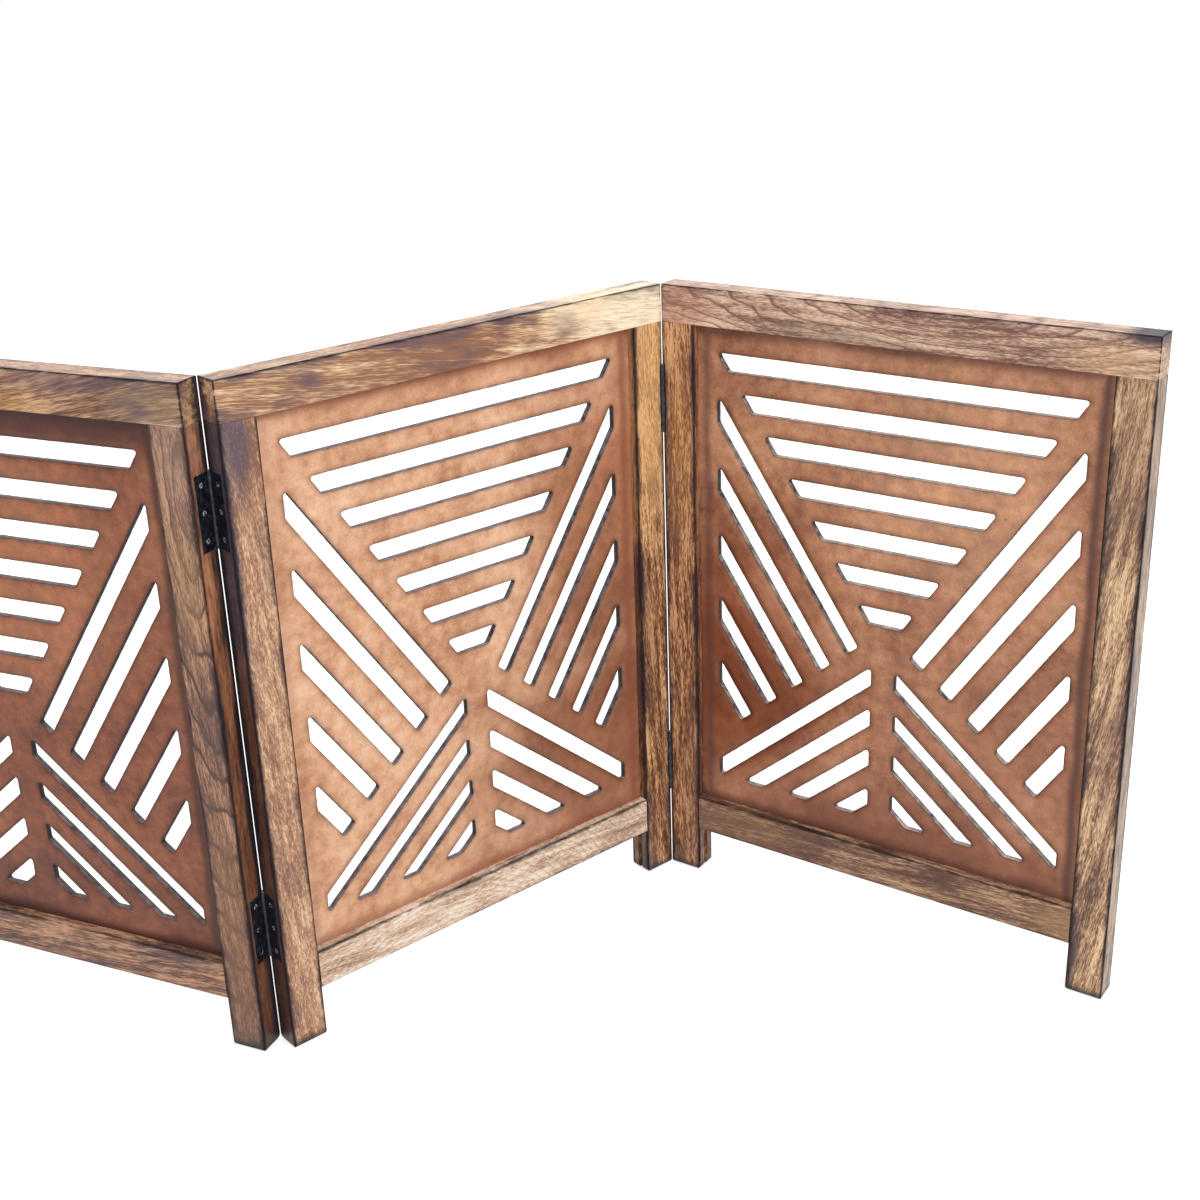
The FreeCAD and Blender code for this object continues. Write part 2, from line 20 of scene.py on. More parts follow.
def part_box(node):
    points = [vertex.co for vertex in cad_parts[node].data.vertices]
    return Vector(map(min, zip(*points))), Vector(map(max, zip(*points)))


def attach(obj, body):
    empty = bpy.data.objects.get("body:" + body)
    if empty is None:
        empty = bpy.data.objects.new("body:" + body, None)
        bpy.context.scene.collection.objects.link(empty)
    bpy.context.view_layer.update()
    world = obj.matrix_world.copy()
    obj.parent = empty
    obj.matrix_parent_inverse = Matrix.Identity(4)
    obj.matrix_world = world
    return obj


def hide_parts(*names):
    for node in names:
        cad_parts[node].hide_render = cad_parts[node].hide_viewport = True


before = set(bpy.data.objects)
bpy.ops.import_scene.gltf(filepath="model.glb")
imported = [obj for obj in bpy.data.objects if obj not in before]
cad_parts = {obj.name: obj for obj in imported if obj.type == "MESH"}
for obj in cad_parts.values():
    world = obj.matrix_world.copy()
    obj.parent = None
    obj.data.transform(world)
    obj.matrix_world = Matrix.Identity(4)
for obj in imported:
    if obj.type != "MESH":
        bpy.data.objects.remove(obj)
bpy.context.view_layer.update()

logging.basicConfig(level=logging.INFO, format="%(message)s")
LOG = logging.getLogger("jali_screen")

MM = 0.001
WHITE = "#FFFFFF"
SATIN_LACQUER_IOR = 1.48

# Type names of the nodes that recur.  RANGE takes its value, the two ends that it is read between,
# and the two values that these ends give.
MATH, VECTOR, RANGE = "ShaderNodeMath", "ShaderNodeVectorMath", "ShaderNodeMapRange"
RAMP, NOISE = "ShaderNodeValToRGB", "ShaderNodeTexNoise"
SPLIT, COMBINE = "ShaderNodeSeparateXYZ", "ShaderNodeCombineXYZ"
STORE, JOIN = "GeometryNodeStoreNamedAttribute", "GeometryNodeJoinGeometry"

SMOOTH = {"interpolation_type": "SMOOTHSTEP"}

# Socket numbers of the colour Mix node, whose socket names repeat
MIX_FACTOR, MIX_A, MIX_B, MIX_COLOUR = 0, 6, 7, 2

Tree = bpy.types.NodeTree
Node = bpy.types.Node
Socket = bpy.types.NodeSocket
Material = bpy.types.Material
Outputs = bpy.types.bpy_prop_collection
Feed = Union[Node, Socket]
# A layer of colour: how strongly it covers what is below, and its colour
Layer = tuple[Feed, Union[Feed, str]]


def linear(code: str) -> tuple[float, float, float, float]:
    """Turn an sRGB hex colour into linear values.

    Args:
        code: the colour as #RRGGBB.

    Returns:
        Red, green, blue and alpha as the nodes take them.
    """
    parts = [int(code[index:index + 2], 16) / 255 for index in (1, 3, 5)]
    values = [part / 12.92 if part <= 0.04045 else ((part + 0.055) / 1.055) ** 2.4 for part in parts]
    return (*values, 1.0)


def per_mm(length: float) -> float:
    """Return the texture scale at which one cell is that many millimetres long."""
    return 1 / (length * MM)


def add_node(tree: Tree, kind: str, inputs: Union[Feed, dict, tuple] = (), stops: tuple = (),
             **settings: object) -> Node:
    """Add a node to a tree with its settings and links.

    Args:
        tree: the tree that gets the node.
        kind: the node's type name.
        inputs: what goes into the sockets, by name or number, or in order from the first.  Each is a
            value, a hex colour, or the node, socket or list of sockets that feeds it.
        stops: places on a colour ramp in order, each with a hex colour or a plain value.
        **settings: the node's own properties.

    Returns:
        The new node.
    """
    node = tree.nodes.new(kind)
    for name, value in settings.items():
        setattr(node, name, value)
    if isinstance(inputs, (Node, Socket)):
        inputs = (inputs,)
    for key, value in inputs.items() if isinstance(inputs, dict) else enumerate(inputs):
        for source in value if isinstance(value, list) else [value]:
            if isinstance(source, Node):
                source = source.outputs[0]
            if isinstance(source, Socket):
                tree.links.new(source, node.inputs[key])
            else:
                is_colour = isinstance(source, str) and source.startswith("#")
                node.inputs[key].default_value = linear(source) if is_colour else source
    if stops:
        elements = node.color_ramp.elements
        elements[0].position = stops[0][0]
        elements[1].position = stops[-1][0]
        for place, _ in stops[1:-1]:
            elements.new(place)
        for element, (_, colour) in zip(elements, stops):
            element.color = linear(colour) if isinstance(colour, str) else (colour, colour, colour, 1.0)
    return node


def new_material(name: str) -> tuple[Material, partial]:
    """Make a material with an empty tree.

    Args:
        name: the material's name.

    Returns:
        The material, and the function that adds a node to it.
    """
    material = bpy.data.materials.new(name)
    material.use_nodes = True
    material.node_tree.nodes.clear()
    return material, partial(add_node, material.node_tree)


def lay(add: partial, colour: Feed, layers: list[Layer]) -> Feed:
    """Lay layers of colour one over the other.

    Args:
        add: adds a node to the material.
        colour: the colour underneath.
        layers: the layers from the bottom up.

    Returns:
        The colour on top.
    """
    for strength, over in layers:
        mix = add("ShaderNodeMix", {MIX_FACTOR: strength, MIX_A: colour, MIX_B: over}, data_type="RGBA")
        colour = mix.outputs[MIX_COLOUR]
    return colour


def coat(add: partial, look: dict[str, object], gloss: Optional[tuple] = None,
         relief: Optional[tuple] = None) -> None:
    """Close a material with its shader.

    Args:
        add: adds a node to the material.
        look: the shader's inputs.
        gloss: a pattern, with the roughness where it is 0 and where it is 1.
        relief: a pattern, with its strength as a relief and its depth in mm.
    """
    if gloss:
        look["Roughness"] = add(RANGE, (gloss[0], 0.0, 1.0, gloss[1], gloss[2]))
    if relief:
        look["Normal"] = add("ShaderNodeBump", {
            "Strength": relief[1], "Distance": relief[2] * MM, "Height": relief[0]})
    add("ShaderNodeOutputMaterial", {"Surface": add("ShaderNodeBsdfPrincipled", look)})


def new_geometry_tree(name: str, sizes: dict[str, tuple]) -> tuple[Tree, partial, Outputs]:
    """Make a geometry tree with named inputs.

    Args:
        name: the tree's name.
        sizes: the names of the inputs by the type of their sockets.

    Returns:
        The tree, the function that adds a node to it, and its inputs.
    """
    tree = bpy.data.node_groups.new(name, "GeometryNodeTree")
    tree.interface.new_socket("Geometry", in_out="OUTPUT", socket_type="NodeSocketGeometry")
    for kind, titles in sizes.items():
        for title in titles:
            tree.interface.new_socket(title, in_out="INPUT", socket_type=f"NodeSocket{kind}")
    return tree, partial(add_node, tree), tree.nodes.new("NodeGroupInput").outputs


def grow(name: str, tree: Tree, values: dict[str, object]) -> bpy.types.Object:
    """Run a geometry tree on an empty mesh and keep the result as a plain mesh.

    Args:
        name: the new object's name.
        tree: the geometry tree.
        values: the value of each of the tree's inputs, by name.

    Returns:
        The object, with no modifier left on it.
    """
    piece = bpy.data.objects.new(name, bpy.data.meshes.new(name))
    bpy.context.scene.collection.objects.link(piece)
    modifier = piece.modifiers.new(name, "NODES")
    modifier.node_group = tree
    for item in tree.interface.items_tree:
        if item.in_out == "INPUT":
            modifier[item.identifier] = values[item.name]
    depsgraph = bpy.context.evaluated_depsgraph_get()
    grown = piece.evaluated_get(depsgraph)
    mesh = bpy.data.meshes.new_from_object(grown, preserve_all_data_layers=True, depsgraph=depsgraph)
    piece.modifiers.remove(modifier)
    piece.data = mesh
    mesh.name = name
    LOG.info("built %s with %d faces", name, len(mesh.polygons))
    return piece


def dress(node: str, material: Material) -> None:
    """Give a solid of the frame its material."""
    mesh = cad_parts[node].data
    mesh.materials.clear()
    mesh.materials.append(material)
    LOG.info("dressed %s in %s", node, material.name)


@dataclass(frozen=True)
class Box:
    """The extent of a piece in its panel's own directions."""

    low: Vector
    high: Vector

    @property
    def middle(self) -> Vector:
        """The box's centre."""
        return (self.low + self.high) / 2

    @property
    def half(self) -> Vector:
        """Half of the box's size."""
        return (self.high - self.low) / 2


@dataclass(frozen=True)
class PanelPlace:
    """Where one panel stands: its turn about the vertical, and its middle on the floor."""

    name: str
    yaw: float

    @property
    def body(self) -> str:
        """The body that the panel's pieces ride on."""
        return f"{self.name}_panel"

    @property
    def origin(self) -> Vector:
        """The panel's middle on the floor, which is its board's middle."""
        low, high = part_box(f"{self.body}_jali_board")
        return Vector(((low[0] + high[0]) / 2, (low[1] + high[1]) / 2, 0))

    @property
    def matrix(self) -> Matrix:
        """The turn and shift from the panel's own directions to the frame's."""
        return Matrix.Translation(self.origin) @ Matrix.Rotation(self.yaw, 4, "Z")

    def box(self, node: str) -> Box:
        """Measure a solid in the panel's own directions.

        Args:
            node: the solid's name.

        Returns:
            Its extent along the panel, through it and upward.
        """
        back = self.matrix.inverted()
        points = [back @ vertex.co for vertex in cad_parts[node].data.vertices]
        axes = list(zip(*points))
        return Box(*(Vector([end(values) for values in axes]) for end in (min, max)))

    def directions(self, add: partial) -> Node:
        """Add the place in the panel's own directions to a material.

        Args:
            add: adds a node to the material.

        Returns:
            The node that gives the place in metres.
        """
        return add("ShaderNodeMapping", {
            "Vector": add("ShaderNodeTexCoord").outputs["Object"], "Location": self.origin,
            "Rotation": (0, 0, self.yaw)}, vector_type="TEXTURE")


class Grain(Enum):
    """Which way the grain of a frame member runs: along the panel or upward."""

    LENGTHWISE = ("X", "Z")
    UPRIGHT = ("Z", "X")


@dataclass(frozen=True)
class Wash:
    """A soft patch of another colour, laid over a piece's grain.

    at is its middle: along a member (0 to 1) and across it (-1 to 1), or
    across a board and up it (-1 to 1 both ways).  reach is how far it spreads
    both ways until it has faded out, in the same measure, and level how
    strong it is.
    """

    colour: str
    at: tuple[float, float]
    reach: tuple[float, float]
    level: float = 0.6

    def layer(self, add: partial, apart: Node, clouds: Node, ragged: float, core: float,
              light: Node) -> Layer:
        """Fade the patch out round its middle, with the grain showing through it.

        Args:
            add: adds a node to the material.
            apart: the place from the patch's middle, as a share of its reach each way.
            clouds: the broad pattern, which makes the border ragged.
            ragged: how far it does.
            core: the share of the reach at which the fading starts.
            light: how light the grain is there.

        Returns:
            The patch as a layer.
        """
        far = add(VECTOR, apart, operation="LENGTH").outputs["Value"]
        border = add(MATH, (clouds, ragged, add(MATH, (far, ragged / 2), operation="SUBTRACT")),
                     operation="MULTIPLY_ADD")
        fading = add(RANGE, (border, core, 1.0, self.level, 0.0), **SMOOTH)
        return fading, add(VECTOR, {0: linear(self.colour)[:3], "Scale": light}, operation="SCALE")


@dataclass(frozen=True)
class Figure:
    """What the grain of one member shows.

    shades are places along the member (0 to 1) with the wood's lightness there
    (0 to 1).  The growth rings are ovals round the eye, a place along and
    across the member in mm from its middle.  They lie pitch mm apart across the
    grain and are stretched along it.  ring is how dark their lines are, tilt
    how far the grain runs off the member in degrees, glaze how much dark glaze
    was left on, scorch how wide the burnt corners are in mm, and side how much
    of the side colours, at the foot and at the top, lies on its outer edge face.
    contrast scales the grain's light and dark, draw how long its streaks are, washes are patches of another
    colour, and the last value is how dark the painted shade in a joint's narrow gap makes the outer edge face
    toward the back.
    """

    seed: float
    shades: tuple[tuple[float, float], ...] = ((0.0, 0.5), (1.0, 0.5))
    eye: tuple[float, float] = (0.0, 300.0)
    pitch: float = 5.0
    stretch: float = 5.0
    ring: float = 0.25
    tilt: float = 4.0
    glaze: float = 0.4
    scorch: float = 3.6
    draw: float = 1.0
    side: float = 0.0
    side_colours: tuple[str, str] = ("#4A2A20", "#6E3F28")
    contrast: float = 1.0
    washes: tuple[Wash, ...] = ()
    gap_shade: float = 0.0


@dataclass(frozen=True)
class MangoWood:
    """Mango wood, planed, stained and rubbed back, under a satin lacquer.

    Short light and dark flecks follow the grain, a mauve glaze stays in the hollows, the corners are burnt,
    and the lacquer gives a soft sheen.  The burnt colour also lays the painted shade in the narrow gaps of
    the joints.
    """

    dark: str
    body: str
    light: str
    glaze: str = "#64505A"
    burn_and_gap_shade: str = "#1B1A22"


class MemberFinish:
    """The finish of one frame member: its wood's patterns, and the layers over them.

    Places are measured from the member's middle, in its panel's directions.
    Lengths named here are in mm.
    """

    # How far the grain swings, and how long the cells of that swing are
    SWING, SWING_CELL = 6, 40
    # The streaks of the pores, flecks, bands and clouds: length, width and detail
    STREAKS = ((6.0, 0.9, 1.0), (14.0, 2.0, 2.0), (90.0, 6.0, 3.0), (70.0, 26.0, 2.0))
    # Their weights in the wood's light and dark
    WEIGHTS = (1.2, 0.9, 1.5, 0.9)
    # Where the dark, middle and light colours lie, and how uneven the borders of the shades are
    STAIN_PLACES, UNEVEN = (0.15, 0.5, 0.85), 0.15
    # A ring's line, from one ring to the next, and how many rings' widths the clouds bend it
    RING_LINE, RING_BEND = ((0.0, 0.0), (0.5, 0.06), (0.76, 0.25), (0.88, 1.0), (0.98, 0.0)), 1.6
    # The depths between which a colour of the outer edge face ends
    FACE_DEPTH = (0.6, 2.0)
    # Where the painted shade in a joint's gap starts from the back, how far it swings and the depths it fades
    # over, in mm
    HOLLOW_START, HOLLOW_SWING, HOLLOW_FADE = 7, 14, (4, 12)
    # How far from a corner more glaze stays, and how much of the clouds it then covers
    GLAZE_REACH, GLAZE_MORE, GLAZE_PATCH = 13, 0.2, (0.22, 0.46)
    # How far the corners are rubbed bare, by how much that varies, and the burn's width as shares
    WORN_CORNER, WORN_SWING, BURN_SHARES, BURN_LEVEL = 1.2, 2.4, (1.5, 0.5), 0.95

    def __init__(self, wood: MangoWood, figure: Figure, place: PanelPlace, box: Box, grain: Grain,
                 title: str) -> None:
        """Lay the grain out.

        Args:
            wood: the member's wood.
            figure: what its grain shows.
            place: its panel.
            box: its extent, drawn out past its joints.
            grain: which way its grain runs.
            title: its name.
        """
        self.wood, self.figure, self.box = wood, figure, box
        self.material, self.add = new_material(f"stained_mango_wood_{title}")
        add, seed = self.add, figure.seed
        self.offset = add(VECTOR, (place.directions(add), box.middle), operation="SUBTRACT")
        self.split = add(SPLIT, self.offset).outputs
        along, across = grain.value
        flow = add(COMBINE, (self.split[along], self.split[across], self.split["Y"]))
        # The grain swings by a few millimetres over 120 mm or so
        drawn = add(VECTOR, (flow, (0.3, 1.0, 1.0), (seed, seed, 0.0)), operation="MULTIPLY_ADD")
        swing = add(NOISE, {"Vector": drawn, "Scale": per_mm(self.SWING_CELL), "Detail": 1.0})
        shift = add(RANGE, (swing, 0.0, 1.0, -self.SWING * MM, self.SWING * MM))
        self.flow = add(VECTOR, (add(COMBINE, {"Y": shift}), flow), operation="ADD")
        tilted = add("ShaderNodeMapping", {
            "Vector": self.flow, "Location": (seed, seed * 0.7, seed * 0.3),
            "Rotation": (0, 0, math.radians(figure.tilt))})
        draws = (figure.draw, figure.draw, figure.draw, 1.0)
        self.patterns = [self.streaks(tilted, length * draw, width, detail)
                         for (length, width, detail), draw in zip(self.STREAKS, draws)]
        self.pores, self.flecks, self.bands, self.clouds = self.patterns
        half = {"X": box.half.x, "Z": box.half.z}
        self.share = add(RANGE, (self.split[along], -half[along], half[along]))
        self.cross = add(RANGE, (self.split[across], -half[across], half[across], -1.0))
        self.edge, self.faces = self.corners()

    def streaks(self, flow: Node, length: float, width: float, detail: float) -> Node:
        """Add a noise drawn out along the grain.

        Args:
            flow: the vector that runs along, across and into the member.
            length: a streak's length in mm.
            width: its width in mm.
            detail: the noise's detail.

        Returns:
            The noise node.
        """
        drawn = self.add(VECTOR, (flow, (width / length, 1.0, 1.0)), operation="MULTIPLY")
        return self.add(NOISE, {"Vector": drawn, "Scale": per_mm(width), "Detail": detail, "Roughness": 0.6})

    def corners(self) -> tuple[Node, Outputs]:
        """Measure how far a point lies from the member's nearest corner line.

        Returns:
            The distance in metres, and the depths under the three pairs of faces.
        """
        size = self.add(VECTOR, self.offset, operation="ABSOLUTE")
        depth = self.add(VECTOR, (self.box.half, size), operation="SUBTRACT")
        x, y, z = faces = self.add(SPLIT, depth).outputs
        rest = self.add(VECTOR, (depth, (1, 1, 1)), operation="DOT_PRODUCT").outputs["Value"]
        for way in ("MINIMUM", "MAXIMUM"):
            end = self.add(MATH, (self.add(MATH, (x, y), operation=way), z), operation=way)
            rest = self.add(MATH, (rest, end), operation="SUBTRACT")
        return rest, faces

    def ground(self) -> Node:
        """Mix the wood's own colours, lighter or darker along the member.

        Returns:
            The colour.
        """
        uneven = self.add(RANGE, (self.clouds, 0.0, 1.0, -self.UNEVEN, self.UNEVEN))
        place = self.add(MATH, (self.share, uneven), operation="ADD", use_clamp=True)
        shade = self.add(RAMP, place, self.figure.shades)
        contrast = self.figure.contrast
        level = self.add(MATH, (shade, contrast * sum(self.WEIGHTS) / 2), operation="SUBTRACT")
        for pattern, weight in zip(self.patterns, self.WEIGHTS):
            level = self.add(MATH, (pattern, contrast * weight, level), operation="MULTIPLY_ADD")
        colours = (self.wood.dark, self.wood.body, self.wood.light)
        return self.add(RAMP, level, tuple(zip(self.STAIN_PLACES, colours)))

    def rings(self) -> Layer:
        """Draw the growth rings that the saw cut open, as thin lines.

        Returns:
            The rings as a layer.
        """
        along, across = self.figure.eye
        apart = self.add(VECTOR, (self.flow, (along * MM, across * MM, 0.0)), operation="SUBTRACT")
        oval = self.add(VECTOR, (apart, (1 / self.figure.stretch, 1.0, 0.3)), operation="MULTIPLY")
        reach = self.add(VECTOR, oval, operation="LENGTH").outputs["Value"]
        bend = self.add(MATH, (self.clouds, self.RING_BEND), operation="MULTIPLY")
        count = self.add(MATH, (reach, per_mm(self.figure.pitch), bend), operation="MULTIPLY_ADD")
        line = self.add(RAMP, self.add(MATH, count, operation="FRACT"), self.RING_LINE)
        return self.add(MATH, (line, self.figure.ring), operation="MULTIPLY"), self.wood.dark

    def outer_face(self, level: float) -> Node:
        """Add a value that is a level on the member's outer edge faces and 0 below them."""
        top, bottom = self.FACE_DEPTH
        return self.add(RANGE, (self.faces["X"], top * MM, bottom * MM, level, 0.0))

    def side_stain(self) -> Layer:
        """Stain the outer edge face, which was wiped on thick and runs along the grain.

        Returns:
            The stain as a layer.
        """
        foot, top = self.figure.side_colours
        body = self.add(RAMP, self.share, ((0.1, foot), (0.8, top)))
        runs = self.add(MATH, (self.flecks, 0.6, self.bands), operation="MULTIPLY_ADD")
        light = self.add(RANGE, (runs, 0.6, 1.0, 0.3, 1.7))
        streaked = self.add(VECTOR, {0: body, "Scale": light}, operation="SCALE")
        return self.outer_face(self.figure.side), streaked

    def wash(self, wash: Wash) -> Layer:
        """Lay a patch, placed along the member and across it.

        Args:
            wash: the patch.

        Returns:
            The patch as a layer.
        """
        place = self.add(COMBINE, (self.share, self.cross))
        apart = self.add(VECTOR, (place, (*wash.at, 0.0)), operation="SUBTRACT")
        apart = self.add(VECTOR, (apart, (1 / wash.reach[0], 1 / wash.reach[1], 0.0)), operation="MULTIPLY")
        fine = self.add(MATH, (self.flecks, self.pores), operation="ADD")
        light = self.add(RANGE, (fine, 0.7, 1.3, 0.6, 1.4))
        return wash.layer(self.add, apart, self.clouds, 0.9, 0.3, light)

    def gap_shade(self) -> Layer:
        """Paint shade on the outer edge face toward the back, where a joint's two faces meet in a narrow gap.

        Returns:
            The painted shade as a layer.
        """
        start, swing, (near, far) = self.HOLLOW_START, self.HOLLOW_SWING, self.HOLLOW_FADE
        depth = self.add(MATH, (self.box.half.y - start * MM, self.split["Y"]), operation="SUBTRACT")
        depth = self.add(MATH, (self.bands, swing * MM, depth), operation="MULTIPLY_ADD")
        dark = self.add(RANGE, (depth, near * MM, far * MM, self.figure.gap_shade, 0.0), **SMOOTH)
        return self.add(MATH, (dark, self.outer_face(1.0)), operation="MULTIPLY"), self.wood.burn_and_gap_shade

    def glaze(self) -> Layer:
        """Leave the glaze in patches, more of it near the corners.

        Returns:
            The glaze as a layer.
        """
        near = self.add(RANGE, (self.edge, 0.0, self.GLAZE_REACH * MM, self.GLAZE_MORE, 0.0))
        patch = self.add(MATH, (self.clouds, near), operation="SUBTRACT")
        patch = self.add(RANGE, (patch, *self.GLAZE_PATCH, self.figure.glaze, 0.0), **SMOOTH)
        thin = self.add(RANGE, (self.flecks, 0.3, 0.7, 1.3, 0.5))
        return self.add(MATH, (patch, thin), operation="MULTIPLY", use_clamp=True), self.wood.glaze

    def scorch(self) -> Layer:
        """Burn the corners, in a line of uneven width.

        Returns:
            The burn as a layer.
        """
        widths = (share * self.figure.scorch * MM for share in self.BURN_SHARES)
        width = self.add(RANGE, (self.clouds, 0.3, 0.7, *widths))
        worn = self.add(MATH, (self.edge, self.WORN_CORNER * MM), operation="SUBTRACT")
        rubbed = self.add(MATH, (self.flecks, self.WORN_SWING * MM, worn), operation="MULTIPLY_ADD")
        burnt = self.add(RANGE, (rubbed, 0.0, width, self.BURN_LEVEL, 0.0), **SMOOTH)
        return burnt, self.wood.burn_and_gap_shade

    def make(self) -> Material:
        """Lay the layers over the wood and close the material.

        Returns:
            The member's material.
        """
        layers = [self.rings()]
        if self.figure.side:
            layers.append(self.side_stain())
        layers += [self.wash(wash) for wash in self.figure.washes]
        if self.figure.gap_shade:
            layers.append(self.gap_shade())
        burnt = self.scorch()
        colour = lay(self.add, self.ground(), [*layers, self.glaze(), burnt])
        sheen = self.add(RANGE, (burnt[0], 0.0, 1.0, 0.4, 0.05))
        relief = self.add(MATH, (self.pores, 0.6, self.flecks), operation="MULTIPLY_ADD")
        coat(self.add, {"Base Color": colour, "IOR": SATIN_LACQUER_IOR, "Specular IOR Level": sheen},
             gloss=(self.flecks, 0.5, 0.32), relief=(relief, 0.35, 0.4))
        return self.material


@dataclass(frozen=True)
class StainedBoard:
    """Medium-density fibreboard, stained and sprayed darker at its border.

    Fine fibres and soft blotches show through the stain, the border and the
    rims of the slots are shaded by a spray gun, and the sealer is satin.
    Lengths are in mm.
    """

    name: str
    body: str
    light: str
    shade: str
    spray_levels: tuple[float, float, float, float]
    spray_colour: str
    washes: tuple[Wash, ...]
    rim_level: float = 1.0
    rim: str = "#38211F"
    mark: str = "#33231F"
    fibre: float = 2.4
    blotch: float = 11.0
    cloud: float = 90.0
    # The values of the mixed pattern between which the stain goes from its shade to its light
    mottle: tuple[float, float] = (0.8, 1.35)
    # How far the spray's line lies inside the opening, and its width, on the upright and the level sides
    upright_spray: tuple[float, float] = (9, 8)
    level_spray: tuple[float, float] = (2, 12)
    spray_swing: float = 6.0
    knock_spacing: float = 46.0

    def make(self, place: PanelPlace, box: Box) -> Material:
        """Make the finish of one board.

        Args:
            place: the board's panel.
            box: the extent of the opening that the board shows in.

        Returns:
            The board's material.
        """
        material, add = new_material(f"stained_fibreboard_{self.name}")
        local = place.directions(add)
        moved = add(VECTOR, (local, (place.yaw, 0, place.yaw)), operation="ADD")
        cells = ((self.fibre, 2.0, 0.65), (self.blotch, 3.0, 0.6), (self.cloud, 2.0, 0.5))
        fibres, blotches, clouds = (
            add(NOISE, {"Vector": moved, "Scale": per_mm(size), "Detail": detail, "Roughness": roughness})
            for size, detail, roughness in cells)
        mixed = add(MATH, (blotches, 0.8, clouds), operation="MULTIPLY_ADD")
        mixed = add(MATH, (fibres, 0.35, mixed), operation="MULTIPLY_ADD")
        level = add(RANGE, (mixed, *self.mottle))
        stained = add(RAMP, level, ((0.0, self.shade), (0.5, self.body), (1.0, self.light)))
        offset = add(VECTOR, (local, box.middle), operation="SUBTRACT")
        colour = lay(add, stained, [
            *(self.wash(add, wash, offset, box, (mixed, clouds)) for wash in self.washes),
            self.spray(add, offset, box, clouds), self.rims(add, blotches), self.knocks(add, moved)])
        coat(add, {"Base Color": colour, "IOR": SATIN_LACQUER_IOR, "Specular IOR Level": 0.35},
             gloss=(blotches, 0.42, 0.6), relief=(fibres, 0.2, 0.3))
        return material

    def wash(self, add: partial, wash: Wash, offset: Node, box: Box, blots: tuple[Node, Node]) -> Layer:
        """Lay a soft patch where the stain went on thicker or thinner.

        Args:
            add: adds a node to the material.
            wash: the patch, placed across the board and up it.
            offset: the place from the opening's middle, in the panel's directions.
            box: the opening's extent.
            blots: the mixed pattern and the broad one.

        Returns:
            The patch as a layer.
        """
        mixed, clouds = blots
        half = box.half
        middle = (wash.at[0] * half.x, 0.0, wash.at[1] * half.z)
        apart = add(VECTOR, (offset, middle), operation="SUBTRACT")
        apart = add(VECTOR, (apart, (1 / (wash.reach[0] * half.x), 0.0, 1 / (wash.reach[1] * half.z))),
                    operation="MULTIPLY")
        return wash.layer(add, apart, clouds, 0.8, 0.2, add(RANGE, (mixed, *self.mottle, 0.68, 1.32)))

    def spray(self, add: partial, offset: Node, box: Box, clouds: Node) -> Layer:
        """Shade the board along each side of its frame, as the spray gun did.

        Args:
            add: adds a node to the material.
            offset: the place from the opening's middle, in the panel's directions.
            box: the opening's extent.
            clouds: the broad pattern, which makes the width vary.

        Returns:
            The spray as a layer.
        """
        place = add(SPLIT, offset).outputs
        uneven = add(RANGE, (clouds, 0.0, 1.0, -self.spray_swing * MM, self.spray_swing * MM))
        ends = (("X", box.half.x, *self.upright_spray), ("Z", box.half.z, *self.level_spray))
        spray = None
        sides = itertools.product(ends, (1, -1))
        for ((axis, half, inset, width), way), level in zip(sides, self.spray_levels):
            reach = add(MATH, (place[axis], way, half - inset * MM), operation="MULTIPLY_ADD")
            far = add(MATH, add(MATH, (reach, uneven), operation="ADD"), operation="ABSOLUTE")
            band = add(RANGE, (far, 0.0, width * MM, level, 0.0), **SMOOTH)
            spray = band if spray is None else add(MATH, (spray, band), operation="MAXIMUM")
        return spray, self.spray_colour

    def rims(self, add: partial, blotches: Node) -> Layer:
        """Darken the rims of the slots.

        Args:
            add: adds a node to the material.
            blotches: the middling pattern, which makes the width vary.

        Returns:
            The dark rims as a layer.
        """
        from_slot = add("ShaderNodeAttribute", attribute_name="from_slot").outputs["Fac"]
        place = add(MATH, (from_slot, add(RANGE, (blotches, 0.0, 1.0, -0.14, 0.14))), operation="ADD")
        fade = ((0.0, 0.75), (0.1, 0.42), (0.35, 0.12), (0.95, 0.0))
        return add(RAMP, place, tuple((at, level * self.rim_level) for at, level in fade)), self.rim

    def knocks(self, add: partial, moved: Node) -> Layer:
        """Scatter a few small dark knocks.

        Args:
            add: adds a node to the material.
            moved: the place on the board, shifted for each board.

        Returns:
            The knocks as a layer.
        """
        cells = add("ShaderNodeTexVoronoi", {"Vector": moved, "Scale": per_mm(self.knock_spacing)}).outputs
        chosen = add("ShaderNodeSeparateColor", cells["Color"])
        few = add(MATH, (chosen, 0.7), operation="GREATER_THAN")
        spot = add(RANGE, (cells["Distance"], 0.012, 0.03, 0.8, 0.0))
        return add(MATH, (spot, few), operation="MULTIPLY"), self.mark


